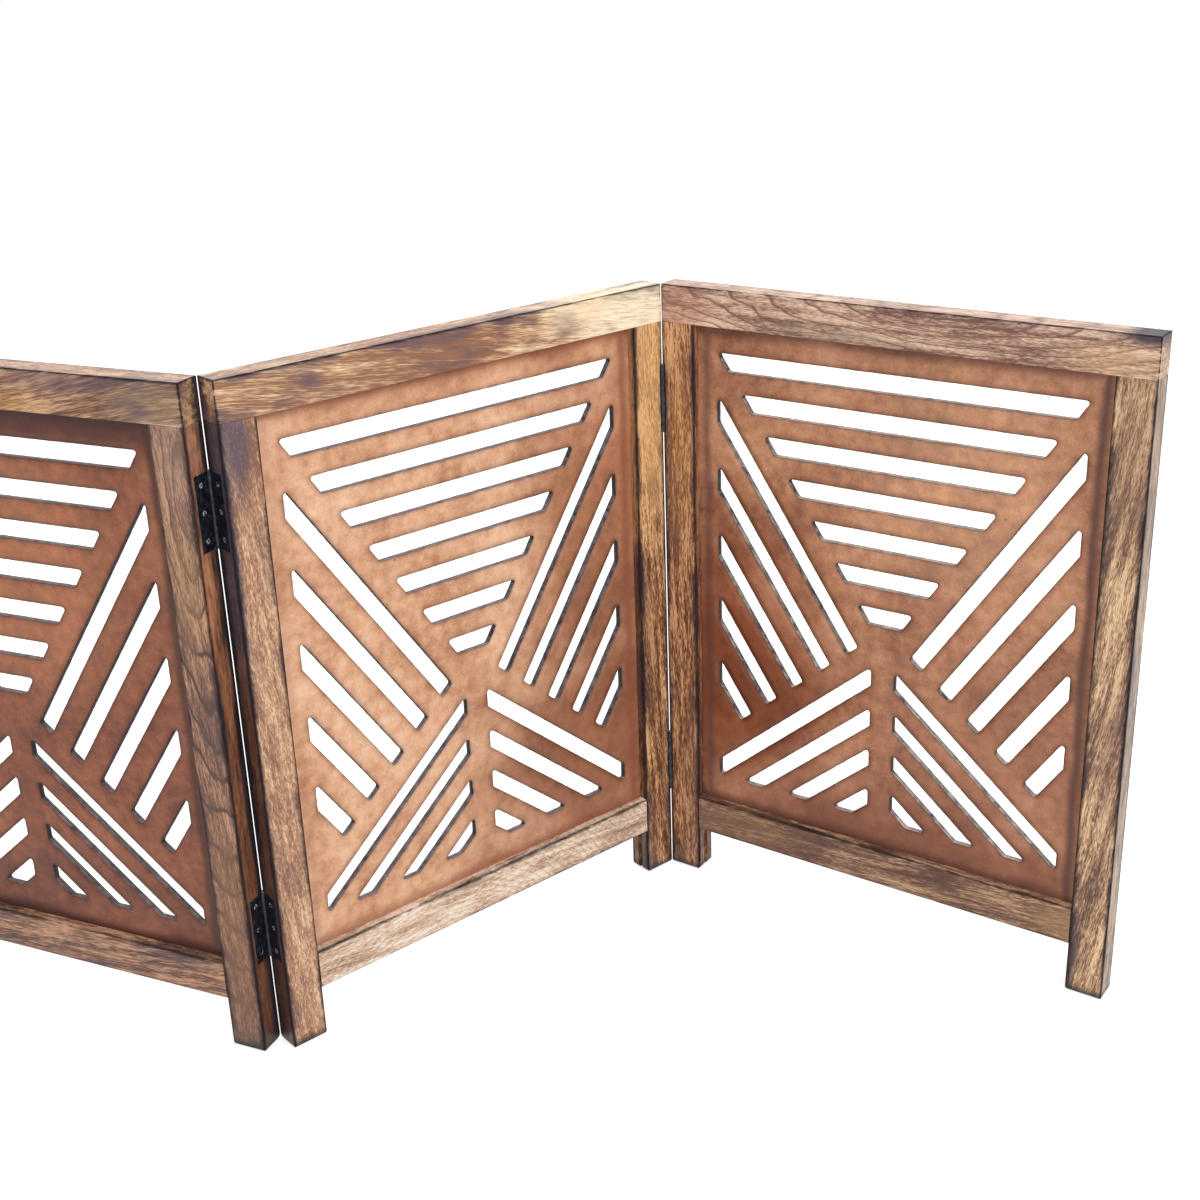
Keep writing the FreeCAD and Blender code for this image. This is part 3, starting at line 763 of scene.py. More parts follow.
@dataclass(frozen=True)
class RoutedWall:
    """The cut wall of a slot in fibreboard, torn by the router and soaked with stain.

    It is near black, and where it faces upward it is painted paler: partly pale dust from the sanding, partly
    painted light falling from above.
    Lengths are in mm.
    """

    name: str
    soaked: str = "#1E1718"
    torn: str = "#5E4D48"
    dust_and_top_light: str = "#C9BAB2"
    fibre: float = 3.2
    patch: float = 9.0

    def make(self) -> Material:
        """Make the finish of the slots' walls.

        Returns:
            The material.
        """
        material, add = new_material(f"routed_fibreboard_wall_{self.name}")
        place = add("ShaderNodeTexCoord").outputs["Object"]
        fibres, patches = (
            add(NOISE, {"Vector": place, "Scale": per_mm(size), "Detail": 3.0, "Roughness": 0.7})
            for size in (self.fibre, self.patch))
        # Walls that face upward are painted paler: partly dust, partly painted light from above.
        facing = add(SPLIT, add("ShaderNodeNewGeometry").outputs["True Normal"]).outputs["Z"]
        patchy = add(MATH, (patches, 0.35), operation="SUBTRACT")
        dust_and_top_light_level = add(MATH, (facing, 0.45, patchy), operation="MULTIPLY_ADD")
        dust_and_top_light_mask = add(RANGE, (dust_and_top_light_level, 0.28, 0.66, 0.0, 0.85))
        fibrous = add(RAMP, fibres, ((0.48, self.soaked), (0.68, self.torn)))
        colour = lay(add, fibrous, [(dust_and_top_light_mask, self.dust_and_top_light)])
        coat(add, {"Base Color": colour, "Roughness": 0.75}, relief=(fibres, 0.6, 0.5))
        return material


@dataclass(frozen=True)
class JapannedSteel:
    """Pressed steel under baked black japan.

    It is blue-black and glossy, with grey showing where the japan is rubbed thin.  On the pin this grey is
    laid on wide and pale, mostly as a painted highlight along the barrel.
    Lengths are in mm.
    """

    title: str = "japanned_steel_leaf"
    japan: str = "#0F131D"
    rubbed: str = "#3A4150"
    wear: float = 0.5
    worn_patch: float = 4.0
    peel: float = 1.1

    def make(self) -> Material:
        """Make the finish of the hinge leaves and pins.

        Returns:
            The material.
        """
        material, add = new_material(self.title)
        place = add("ShaderNodeTexCoord").outputs["Object"]
        worn = add(NOISE, {
            "Vector": place, "Scale": per_mm(self.worn_patch), "Detail": 3.0, "Roughness": 0.6})
        peel = add(NOISE, {"Vector": place, "Scale": per_mm(self.peel), "Detail": 1.0})
        bare = add(MATH, (worn, self.wear - 0.5), operation="ADD")
        colour = add(RAMP, bare, ((0.45, self.japan), (0.75, self.rubbed)))
        coat(add, {"Base Color": colour, "Metallic": 0.3}, gloss=(worn, 0.22, 0.46), relief=(peel, 0.25, 0.1))
        return material


@dataclass(frozen=True)
class ScrewSteel:
    """Blackened steel screw, with a bright glint painted on its crown in patches."""

    black: str = "#22211F"
    painted_glint: str = "#E6E1D2"
    glint_patches: float = 2.4

    def make(self) -> Material:
        """Make the finish of the screws, with a painted glint in patches of so many mm.

        Returns:
            The material.
        """
        material, add = new_material("blackened_steel_screw_with_painted_glint")
        place = add("ShaderNodeTexCoord").outputs["Object"]
        crown = add("ShaderNodeAttribute", attribute_name="crown").outputs["Fac"]
        glint_patches = add(NOISE, {"Vector": place, "Scale": per_mm(self.glint_patches), "Detail": 1.0})
        # Where the patches rise on the crown, a bright glint is painted.
        rubbed = add(MATH, (crown, glint_patches), operation="MULTIPLY")
        colour = add(RAMP, rubbed, ((0.3, self.black), (0.46, self.painted_glint)))
        coat(add, {"Base Color": colour, "Metallic": 0.35}, gloss=(glint_patches, 0.25, 0.45))
        return material


@dataclass(frozen=True)
class Border:
    """A straight border on the board's face, which keeps what lies on its inward side."""

    point: Vector
    inward: Vector

    def depth(self, point: Vector) -> float:
        """Return how far a point lies inside the border."""
        return (point - self.point).dot(self.inward)

    def shifted(self, distance: float) -> "Border":
        """Return the border moved inward by a distance."""
        return Border(self.point + self.inward * distance, self.inward)

    def flipped(self) -> "Border":
        """Return the same border with its other side kept."""
        return Border(self.point, -self.inward)

    def mirrored(self) -> "Border":
        """Return the border's mirror image across the panel's middle."""
        return Border(*(Vector((-way.x, way.y)) for way in (self.point, self.inward)))

    def cut(self, outline: list[Vector]) -> list[Vector]:
        """Cut an outline off at the border.

        Args:
            outline: the corners of a convex shape.

        Returns:
            The corners of what is left.
        """
        kept = []
        for index, point in enumerate(outline):
            before = outline[index - 1]
            depth, depth_before = self.depth(point), self.depth(before)
            if (depth > 0) != (depth_before > 0):
                kept.append(before.lerp(point, depth_before / (depth_before - depth)))
            if depth > 0:
                kept.append(point)
        return kept


@dataclass
class JaliPattern:
    """The slots of a board: level ones in a triangle, raking ones beside it, falling ones below.

    Sizes are in mm and angles in degrees, on the board's face, with x along
    the panel and y upward.
    """

    board: Box
    opening: Box
    side_border: float = 20.2
    top_border: float = 25.4
    level_slot: float = 17.0
    level_rib: float = 19.5
    corner_radius: float = 2.2
    shortest_slot: float = 25.0
    rake_angle: float = 34.0
    rake_slot: float = 15.1
    rake_rib: float = 22.1
    fall_angle: float = 40.4
    fall_slot: float = 14.3
    fall_rib: float = 17.6
    stem_width: float = 23.6
    fork_rib: float = 22.2
    fork_drop: float = 18.0
    bottom_border: float = 26.6

    def row(self, first: Border, slot: float, rib: float, borders: list[Border]) -> list[list[Vector]]:
        """Lay a row of parallel slots, and cut each off at the borders of its field.

        Args:
            first: the border that the first slot starts at.
            slot: a slot's width.
            rib: the width of the rib between two slots.
            borders: the borders that cut the slots off.

        Returns:
            The outlines of the slots, up to the last that is long enough.
        """
        low, high = self.board.low / MM, self.board.high / MM
        face = [Vector(corner)
                for corner in ((low.x, low.z), (high.x, low.z), (high.x, high.z), (low.x, high.z))]
        outlines: list[list[Vector]] = []
        for index in itertools.count():
            edge = first.shifted(index * (slot + rib))
            outline = face
            for border in [edge, edge.shifted(slot).flipped()] + borders:
                outline = border.cut(outline)
            area = sum(outline[i - 1].cross(point) for i, point in enumerate(outline)) / 2
            if area < self.shortest_slot * slot:
                return outlines
            outlines.append([point for i, point in enumerate(outline)
                             if (point - outline[i - 1]).length > self.corner_radius])

    def outlines(self) -> list[list[Vector]]:
        """Lay out every slot of the board.

        Returns:
            The outlines, each counter-clockwise.
        """
        rake, fall = math.radians(self.rake_angle), math.radians(self.fall_angle)
        half = self.opening.high.x / MM - self.side_border
        top = self.opening.high.z / MM - self.top_border
        tip = top - half / math.tan(rake)
        floor = Border(Vector((0, self.opening.low.z / MM + self.bottom_border)), Vector((0, 1)))
        end = Border(Vector((half, 0)), Vector((-1, 0)))
        side = Border(Vector((half, top)), Vector((-math.cos(rake), math.sin(rake))))
        stem = Border(Vector((self.stem_width / 2, 0)), Vector((1, 0)))
        first_falling = Border(
            Vector((self.stem_width / 2, tip - self.fork_drop)), Vector((-math.sin(fall), -math.cos(fall))))
        foot = first_falling.flipped().shifted(self.fork_rib)
        first_raking = side.flipped().shifted(self.rake_rib)
        first_level = Border(Vector((0, top)), Vector((0, -1)))
        level = self.row(first_level, self.level_slot, self.level_rib, [side, side.mirrored()])
        right = self.row(first_raking, self.rake_slot, self.rake_rib, [end, foot])
        right += self.row(first_falling, self.fall_slot, self.fall_rib, [stem, end, floor])
        left = [[Vector((-point.x, point.y)) for point in reversed(outline)] for outline in right]
        return level + right + left

    def curve(self, title: str) -> bpy.types.Object:
        """Draw the slots as closed splines.

        Args:
            title: the curve's name.

        Returns:
            The curve object, in metres.
        """
        data = bpy.data.curves.new(title, "CURVE")
        data.dimensions = "3D"
        for outline in self.outlines():
            spline = data.splines.new("POLY")
            spline.points.add(len(outline) - 1)
            spline.use_cyclic_u = True
            for point, corner in zip(spline.points, outline):
                point.co = (corner.x * MM, corner.y * MM, 0, 1)
        curve = bpy.data.objects.new(title, data)
        bpy.context.scene.collection.objects.link(curve)
        return curve


def pierced_board_tree() -> Tree:
    """Build the tree that cuts a board's slots with a hand-guided router.

    It rounds the slots' corners, lets their edges waver, lays a narrow band
    round each slot that carries the distance to it as from_slot, fills the
    rest of the face and gives the board its thickness.

    Returns:
        The geometry tree.
    """
    tree, add, given = new_geometry_tree("pierced_board", {
        "Object": ("Slot Outlines",),
        "Vector": ("Board Middle",),
        "Float": ("Board Width", "Board Height", "Thickness", "Corner Radius", "Point Spacing", "Waver",
                  "Waver Length", "Band Width"),
        "Material": ("Face Finish", "Wall Finish"),
    })
    merge_distance = 0.002 * MM
    outlines = add("GeometryNodeObjectInfo", {"Object": given["Slot Outlines"]}).outputs["Geometry"]
    rounded = add("GeometryNodeFilletCurve", {
        "Curve": outlines, "Count": 4, "Radius": given["Corner Radius"], "Limit Radius": True}, mode="POLY")
    spaced = add("GeometryNodeResampleCurve", {
        "Curve": rounded, "Length": given["Point Spacing"]}, mode="LENGTH")
    outward = add(VECTOR, (add("GeometryNodeInputTangent"), (0, 0, 1)), operation="CROSS_PRODUCT")
    aimed = add(STORE, {"Geometry": spaced, "Name": "outward", "Value": outward}, data_type="FLOAT_VECTOR")
    aim = add("GeometryNodeInputNamedAttribute", {"Name": "outward"}, data_type="FLOAT_VECTOR")
    noise = add(NOISE, {
        "Vector": add("GeometryNodeInputPosition"), "Detail": 2.0,
        "Scale": add(MATH, (1.0, given["Waver Length"]), operation="DIVIDE")})
    swing = add(MATH, (add(MATH, (noise, 0.5), operation="SUBTRACT"), given["Waver"]), operation="MULTIPLY")
    wavered = add("GeometryNodeSetPosition", {
        "Geometry": aimed, "Offset": add(VECTOR, {0: aim, "Scale": swing}, operation="SCALE")})
    rims = add("GeometryNodeCurveToMesh", {"Curve": wavered})
    bands = add("GeometryNodeExtrudeMesh", {
        "Mesh": rims, "Offset": aim, "Offset Scale": given["Band Width"]}, mode="EDGES").outputs
    far = add(STORE, {"Geometry": bands["Mesh"], "Name": "from_slot", "Value": bands["Top"]})
    outer = add("GeometryNodeMeshToCurve", {"Mesh": far, "Selection": bands["Top"]})
    blank = add("GeometryNodeCurvePrimitiveQuadrilateral", {
        "Width": given["Board Width"], "Height": given["Board Height"]}, mode="RECTANGLE")
    sheet = add("GeometryNodeTransform", {"Geometry": blank, "Translation": given["Board Middle"]})
    rest = add("GeometryNodeFillCurve", {"Curve": add(JOIN, {0: [outer, sheet]})}, mode="TRIANGLES")
    rest = add(STORE, {"Geometry": rest, "Name": "from_slot", "Value": 1.0})
    joined = add("GeometryNodeMergeByDistance", {
        "Geometry": add(JOIN, {0: [far, rest]}), "Distance": merge_distance})
    facing = add(SPLIT, add("GeometryNodeInputNormal")).outputs["Z"]
    face = add("GeometryNodeFlipFaces", {
        "Mesh": joined, "Selection": add("FunctionNodeCompare", {"A": facing}, operation="LESS_THAN")})
    raised = add("GeometryNodeExtrudeMesh", {
        "Mesh": face, "Offset": (0, 0, 1), "Offset Scale": given["Thickness"], "Individual": False},
        mode="FACES").outputs
    painted = add("GeometryNodeSetMaterial", {"Geometry": raised["Mesh"], "Material": given["Face Finish"]})
    painted = add("GeometryNodeSetMaterial", {
        "Geometry": painted, "Selection": raised["Side"], "Material": given["Wall Finish"]})
    under = add("GeometryNodeSetMaterial", {
        "Geometry": add("GeometryNodeFlipFaces", {"Mesh": face}), "Material": given["Face Finish"]})
    board = add("GeometryNodeMergeByDistance", {
        "Geometry": add(JOIN, {0: [painted, under]}), "Distance": merge_distance})
    drop = add(COMBINE, {"Z": add(MATH, (given["Thickness"], -0.5), operation="MULTIPLY")})
    centred = add("GeometryNodeSetPosition", {
        "Geometry": add("GeometryNodeRealizeInstances", {"Geometry": board}), "Offset": drop})
    add("NodeGroupOutput", {"Geometry": centred})
    return tree


def screw_row_tree() -> Tree:
    """Build the tree of a row of raised countersunk screws with cross recesses.

    Each screw's axis is Z, its rim lies in the plane z = 0 and its point is
    below.  The attribute crown runs from 0 at the rim to 1 on the dome's top.

    Returns:
        The geometry tree.
    """
    tree, add, given = new_geometry_tree("screw_row", {
        "Int": ("Count", "Turn Seed"),
        "Float": ("Spacing", "Head Radius", "Dome Height", "Shank Radius", "Shank Length", "Point Length",
                  "Cross Length", "Cross Width", "Cross Depth"),
        "Material": ("Finish",),
    })
    segments, quarter_turn, merge_distance = 32, math.pi / 2, 0.01 * MM
    head, shank, dome_height = given["Head Radius"], given["Shank Radius"], given["Dome Height"]
    sink = foot = add(MATH, (head, shank), operation="SUBTRACT")
    dome = add("GeometryNodeTransform", {
        "Geometry": add("GeometryNodeMeshUVSphere", {"Segments": segments, "Rings": segments // 2}),
        "Scale": add(COMBINE, (head, head, dome_height))})
    height = add(SPLIT, add("GeometryNodeInputPosition")).outputs["Z"]
    under = add("FunctionNodeCompare", {"A": height, "B": -merge_distance / 10}, operation="LESS_THAN")
    pieces = [add("GeometryNodeDeleteGeometry", {"Geometry": dome, "Selection": under})]
    # The countersink, the shank and the point, each ending deeper than the one before
    for top, bottom, depth in ((head, shank, sink), (shank, shank, given["Shank Length"]),
                               (shank, 0.0, given["Point Length"])):
        if depth is not sink:
            foot = add(MATH, (foot, depth), operation="ADD")
        cone = add("GeometryNodeMeshCone", {
            "Vertices": segments, "Radius Top": top, "Radius Bottom": bottom, "Depth": depth},
            fill_type="NONE")
        drop = add(COMBINE, {"Z": add(MATH, (foot, -1.0), operation="MULTIPLY")})
        pieces.append(add("GeometryNodeTransform", {"Geometry": cone, "Translation": drop}))
    screw = add("GeometryNodeMergeByDistance", {
        "Geometry": add(JOIN, {0: pieces}), "Distance": merge_distance})
    crown = add(RANGE, (height, 0.0, dome_height))
    screw = add(STORE, {"Geometry": screw, "Name": "crown", "Value": crown})
    reach = add(MATH, (given["Cross Depth"], 2.0), operation="MULTIPLY")
    blade = add("GeometryNodeMeshCube", {
        "Size": add(COMBINE, (given["Cross Length"], given["Cross Width"], reach))})
    lift = add(COMBINE, {"Z": dome_height})
    blades = [add("GeometryNodeTransform", {"Geometry": blade, "Translation": lift, "Rotation": (0, 0, turn)})
              for turn in (0.0, quarter_turn)]
    screw = add("GeometryNodeMeshBoolean", {"Mesh 1": screw, "Mesh 2": blades}, operation="DIFFERENCE")
    places = add("GeometryNodeMeshLine", {
        "Count": given["Count"], "Offset": add(COMBINE, {"X": given["Spacing"]})}, mode="OFFSET")
    turns = add("FunctionNodeRandomValue", {
        "Min": (0, 0, 0), "Max": (0, 0, quarter_turn), "Seed": given["Turn Seed"]}, data_type="FLOAT_VECTOR")
    row = add("GeometryNodeInstanceOnPoints", {"Points": places, "Instance": screw, "Rotation": turns})
    row = add("GeometryNodeRealizeInstances", {"Geometry": row})
    row = add("GeometryNodeSetMaterial", {"Geometry": row, "Material": given["Finish"]})
    add("NodeGroupOutput", {"Geometry": row})
    return tree


@dataclass
class FramedPanel:
    """One panel: a mortised frame of four members round a pierced board.

    The waver of the slots' edges, the band round them and the reach of a
    member past its joint are in mm.
    """

    place: PanelPlace
    stain: StainedBoard
    wall: Material
    board_tree: Tree
    members: dict[str, tuple[MangoWood, Figure]]
    waver: float = 0.7
    waver_length: float = 7.0
    band_width: float = 6.5
    point_spacing: float = 2.0
    joint_reach: float = 20.0

    def opening(self) -> Box:
        """Measure the opening in the frame.

        Returns:
            The extent that the four members leave free.
        """
        left, right, top, bottom = (
            self.place.box(f"{self.place.body}_{member}")
            for member in ("left_stile", "right_stile", "top_rail", "bottom_rail"))
        return Box(Vector((left.high.x, left.low.y, bottom.high.z)),
                   Vector((right.low.x, left.high.y, top.low.z)))

    def drawn_out(self, member: str) -> Box:
        """Return the extent of a member, drawn out where it meets another.

        No corner line runs along a joint, so no burnt line may be laid there.

        Args:
            member: the member's name within the panel.

        Returns:
            Its extent, moved outward past each joint.
        """
        box = self.place.box(f"{self.place.body}_{member}")
        ends = {"bottom_rail": ((1, 0, 0), (1, 0, 0)), "top_rail": ((0, 0, 1), (0, 0, 0))}
        down, up = ends.get(member, ((0, 0, 0), (0, 0, 1)))
        reach = self.joint_reach * MM
        return Box(box.low - Vector(down) * reach, box.high + Vector(up) * reach)

    def dress_frame(self) -> None:
        """Give each member of the frame its wood."""
        for member, (wood, figure) in self.members.items():
            grain = Grain.LENGTHWISE if member.endswith("rail") else Grain.UPRIGHT
            finish = MemberFinish(
                wood, figure, self.place, self.drawn_out(member), grain, f"{self.place.name}_{member}")
            dress(f"{self.place.body}_{member}", finish.make())
        dowels = f"{self.place.body}_dowels"
        dress(dowels, MemberFinish(BIRCH, PLAIN, self.place, self.place.box(dowels), Grain.UPRIGHT,
                                   f"{self.place.name}_dowels").make())

    def build_board(self) -> None:
        """Build the pierced board in place of its solid."""
        node = f"{self.place.body}_jali_board"
        box, opening = self.place.box(node), self.opening()
        pattern = JaliPattern(box, opening)
        outlines = pattern.curve(f"{self.place.name}_slot_outlines")
        board = grow(f"{self.place.name}_pierced_board", self.board_tree, {
            "Slot Outlines": outlines,
            "Board Width": box.half.x * 2,
            "Board Height": box.half.z * 2,
            "Board Middle": (box.middle.x, box.middle.z, 0.0),
            "Thickness": box.half.y * 2,
            "Corner Radius": pattern.corner_radius * MM,
            "Point Spacing": self.point_spacing * MM,
            "Waver": self.waver * MM,
            "Waver Length": self.waver_length * MM,
            "Band Width": self.band_width * MM,
            "Face Finish": self.stain.make(self.place, opening),
            "Wall Finish": self.wall,
        })
        bpy.data.objects.remove(outlines)
        upright = Matrix.Rotation(math.pi / 2, 4, "X")
        board.data.transform(self.place.matrix @ upright)
        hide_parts(node)
        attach(board, self.place.body)


@dataclass
class ButtHinge:
    """One butt hinge: two leaves, a pin and a row of three screws in each leaf.

    Sizes are in mm.
    """

    name: str
    fixed: PanelPlace
    swing: PanelPlace
    leaf_finish: Material
    pin_finish_with_highlight: Material
    screw_finish_with_glint: Material
    screw_tree: Tree
    seed: int
    head_radius: float = 2.8
    dome_height: float = 0.4
    shank_radius: float = 1.35
    point_length: float = 2.0
    cross: tuple[float, float, float] = (3.0, 0.7, 1.1)
    spacing: float = 23.0
    count: int = 3

    def build_screws(self, leaf: str, place: PanelPlace, seed: int) -> None:
        """Build the row of screws of one leaf.

        Args:
            leaf: fixed or swing.
            place: the panel that the leaf is screwed to.
            seed: what the turns of the screws are drawn from.
        """
        node = f"{self.name}_{leaf}_screws"
        box = place.box(node)
        sink = self.head_radius - self.shank_radius
        length = box.half.x * 2 / MM - self.dome_height
        screws = grow(node.replace("_screws", "_cross_head_screws"), self.screw_tree, {
            "Count": self.count,
            "Spacing": self.spacing * MM,
            "Head Radius": self.head_radius * MM,
            "Dome Height": self.dome_height * MM,
            "Shank Radius": self.shank_radius * MM,
            "Shank Length": (length - sink - self.point_length) * MM,
            "Point Length": self.point_length * MM,
            "Cross Length": self.cross[0] * MM,
            "Cross Width": self.cross[1] * MM,
            "Cross Depth": self.cross[2] * MM,
            "Turn Seed": seed,
            "Finish": self.screw_finish_with_glint,
        })
        side = 1 if box.middle.x > 0 else -1
        rim = (box.high.x if side > 0 else box.low.x) - side * self.dome_height * MM
        first = box.middle.z - self.spacing * MM * (self.count - 1) / 2
        aim = Matrix(((0, 0, side), (0, -side, 0), (1, 0, 0))).to_4x4()
        at = Matrix.Translation(Vector((rim, box.middle.y, first)))
        screws.data.transform(place.matrix @ at @ aim)
        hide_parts(node)
        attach(screws, place.body)

    def build(self) -> None:
        """Dress the hinge's leaves and pin, and build its screws."""
        dress(f"{self.name}_fixed_leaf", self.leaf_finish)
        dress(f"{self.name}_swing_leaf", self.leaf_finish)
        dress(f"{self.name}_pin", self.pin_finish_with_highlight)
        self.build_screws("fixed", self.fixed, self.seed)
        self.build_screws("swing", self.swing, self.seed + 1)


@dataclass(frozen=True)
class AreaLamp:
    """A square soft lamp: where it hangs, what it points at, its side in metres and its watts."""

    title: str
    place: tuple[float, float, float]
    aim: tuple[float, float, float]
    side: float
    power: float

    def hang(self) -> None:
        """Put the lamp in the scene."""
        data = bpy.data.lights.new(self.title, "AREA")
        data.size = self.side
        data.energy = self.power
        lamp = bpy.data.objects.new(self.title, data)
        bpy.context.scene.collection.objects.link(lamp)
        lamp.location = self.place
        lamp.rotation_euler = (Vector(self.aim) - Vector(self.place)).to_track_quat("-Z", "Y").to_euler()


@dataclass
class Studio:
    """The pale floor, the soft light and the camera.

    The camera's place is in metres and its angles are in degrees: turn about
    the vertical, tilt below the level and roll about the view.
    """

    camera_place: tuple[float, float, float] = (0.1464823, -1.3912304, 0.9239114)
    turn: float = -0.33347
    tilt: float = 22.1732
    roll: float = -2.10597
    lens: float = 50.3541
    sensor_width: float = 36.0
    sight: float = 100.0
    floor_radius: float = 14.0
    floor_segments: int = 96
    floor_colour: str = "#EDEBE8"
    floor_glow: float = 0.6
    sky_level: float = 0.6
    lamps: tuple[AreaLamp, ...] = (
        AreaLamp("key_lamp", (1.7, -2.4, 2.6), (0.0, 0.0, 0.3), 1.8, 52.0),
        AreaLamp("top_lamp", (-0.4, 0.3, 2.8), (0.0, 0.0, 0.3), 2.0, 26.0),
    )

    def seen(self, add: partial) -> Node:
        """Add a value that is 1 for rays that show the background: camera, glossy and transmission rays."""
        rays = add("ShaderNodeLightPath").outputs
        total = add(MATH, (rays["Is Camera Ray"], rays["Is Glossy Ray"]), operation="MAXIMUM")
        return add(MATH, (total, rays["Is Transmission Ray"]), operation="MAXIMUM")

    def lay_floor(self) -> None:
        """Lay a wide round floor of pale paper, which keeps the screen's shadow."""
        angles = (2 * math.pi * index / self.floor_segments for index in range(self.floor_segments))
        points = [(self.floor_radius * math.cos(angle), self.floor_radius * math.sin(angle), 0.0)
                  for angle in angles]
        mesh = bpy.data.meshes.new("studio_floor")
        mesh.from_pydata(points, [], [list(range(self.floor_segments))])
        floor = bpy.data.objects.new("studio_floor", mesh)
        bpy.context.scene.collection.objects.link(floor)
        material, add = new_material("pale_studio_paper")
        paper = add("ShaderNodeBsdfPrincipled", {"Base Color": self.floor_colour, "Roughness": 0.9})
        strength = add(MATH, (self.seen(add), self.floor_glow), operation="MULTIPLY")
        glow = add("ShaderNodeEmission", {"Color": WHITE, "Strength": strength})
        add("ShaderNodeOutputMaterial", {"Surface": add("ShaderNodeAddShader", (paper, glow))})
        mesh.materials.append(material)

    def light(self) -> None:
        """Fill the room with even white light and hang the lamps."""
        world = bpy.data.worlds.new("white_studio")
        world.use_nodes = True
        world.node_tree.nodes.clear()
        add = partial(add_node, world.node_tree)
        level = add(RANGE, (self.seen(add), 0.0, 1.0, self.sky_level, 1.0))
        sky = add("ShaderNodeBackground", {"Color": WHITE, "Strength": level})
        add("ShaderNodeOutputWorld", {"Surface": sky})
        bpy.context.scene.world = world
        for lamp in self.lamps:
            lamp.hang()

    def aim_camera(self) -> None:
        """Put the camera where the photographer's stood."""
        turn, tilt, roll = (math.radians(angle) for angle in (self.turn, self.tilt, self.roll))
        forward = Vector((math.sin(turn) * math.cos(tilt), math.cos(turn) * math.cos(tilt), -math.sin(tilt)))
        level_right = Vector((math.cos(turn), -math.sin(turn), 0))
        level_up = level_right.cross(forward)
        right = level_right * math.cos(roll) + level_up * math.sin(roll)
        up = level_up * math.cos(roll) - level_right * math.sin(roll)
        data = bpy.data.cameras.new("studio_camera")
        data.lens = self.lens
        data.sensor_width = self.sensor_width
        data.clip_end = self.sight
        camera = bpy.data.objects.new("studio_camera", data)
        bpy.context.scene.collection.objects.link(camera)
        facing = Matrix((right, up, -forward)).transposed().to_4x4()
        camera.matrix_world = Matrix.Translation(self.camera_place) @ facing
        bpy.context.scene.camera = camera

    def build(self) -> None:
        """Set the whole studio up."""
        self.lay_floor()
        self.light()
        self.aim_camera()
        bpy.context.scene.view_settings.view_transform = "Standard"


# Woods by their dark, middle and light colours
SMOKED = MangoWood("#4E352F", "#9C7054", "#E2B588")
WALNUT = MangoWood("#513630", "#916751", "#CE9F7E")
TOFFEE = MangoWood("#8A5F4A", "#BC9070", "#EBC69F")
HONEY = MangoWood("#96694E", "#D9B08A", "#FFEAC4")
LINEN = MangoWood("#9C7A64", "#E0BFA4", "#FFF1DF")
CHESTNUT = MangoWood("#5F3823", "#A87650", "#F0C08C")
RUSSET = MangoWood("#633825", "#A9754F", "#EDBB8C")
ROSY = MangoWood("#785348", "#C6A08B", "#F6D6BD")
OAK_BROWN = MangoWood("#604436", "#BA9270", "#F5D2A8")
UMBER = MangoWood("#5C3D30", "#876450", "#CDA683")
BIRCH = MangoWood("#A98560", "#C9A67E", "#E0C49C")
PLAIN = Figure(9.1, ring=0.1, glaze=0.0)

# Patches that several members have: a dark band at the foot, a painted highlight along the top face and its
# arris, and a line of glue
DARK_FOOT = Wash("#221D23", (0.0, 0.0), (0.02, 6.0), 0.85)
PAINTED_TOP_HIGHLIGHT = Wash("#EBCBB6", (0.5, 1.04), (20.0, 0.06), 0.55)
GLUE_LINE = Wash("#DCCBB8", (0.965, -0.275), (0.07, 0.07), 0.9)

# Each panel's turn about the vertical in degrees
YAWS = {"left": -24.0, "middle": 40.5, "right": -35.5}

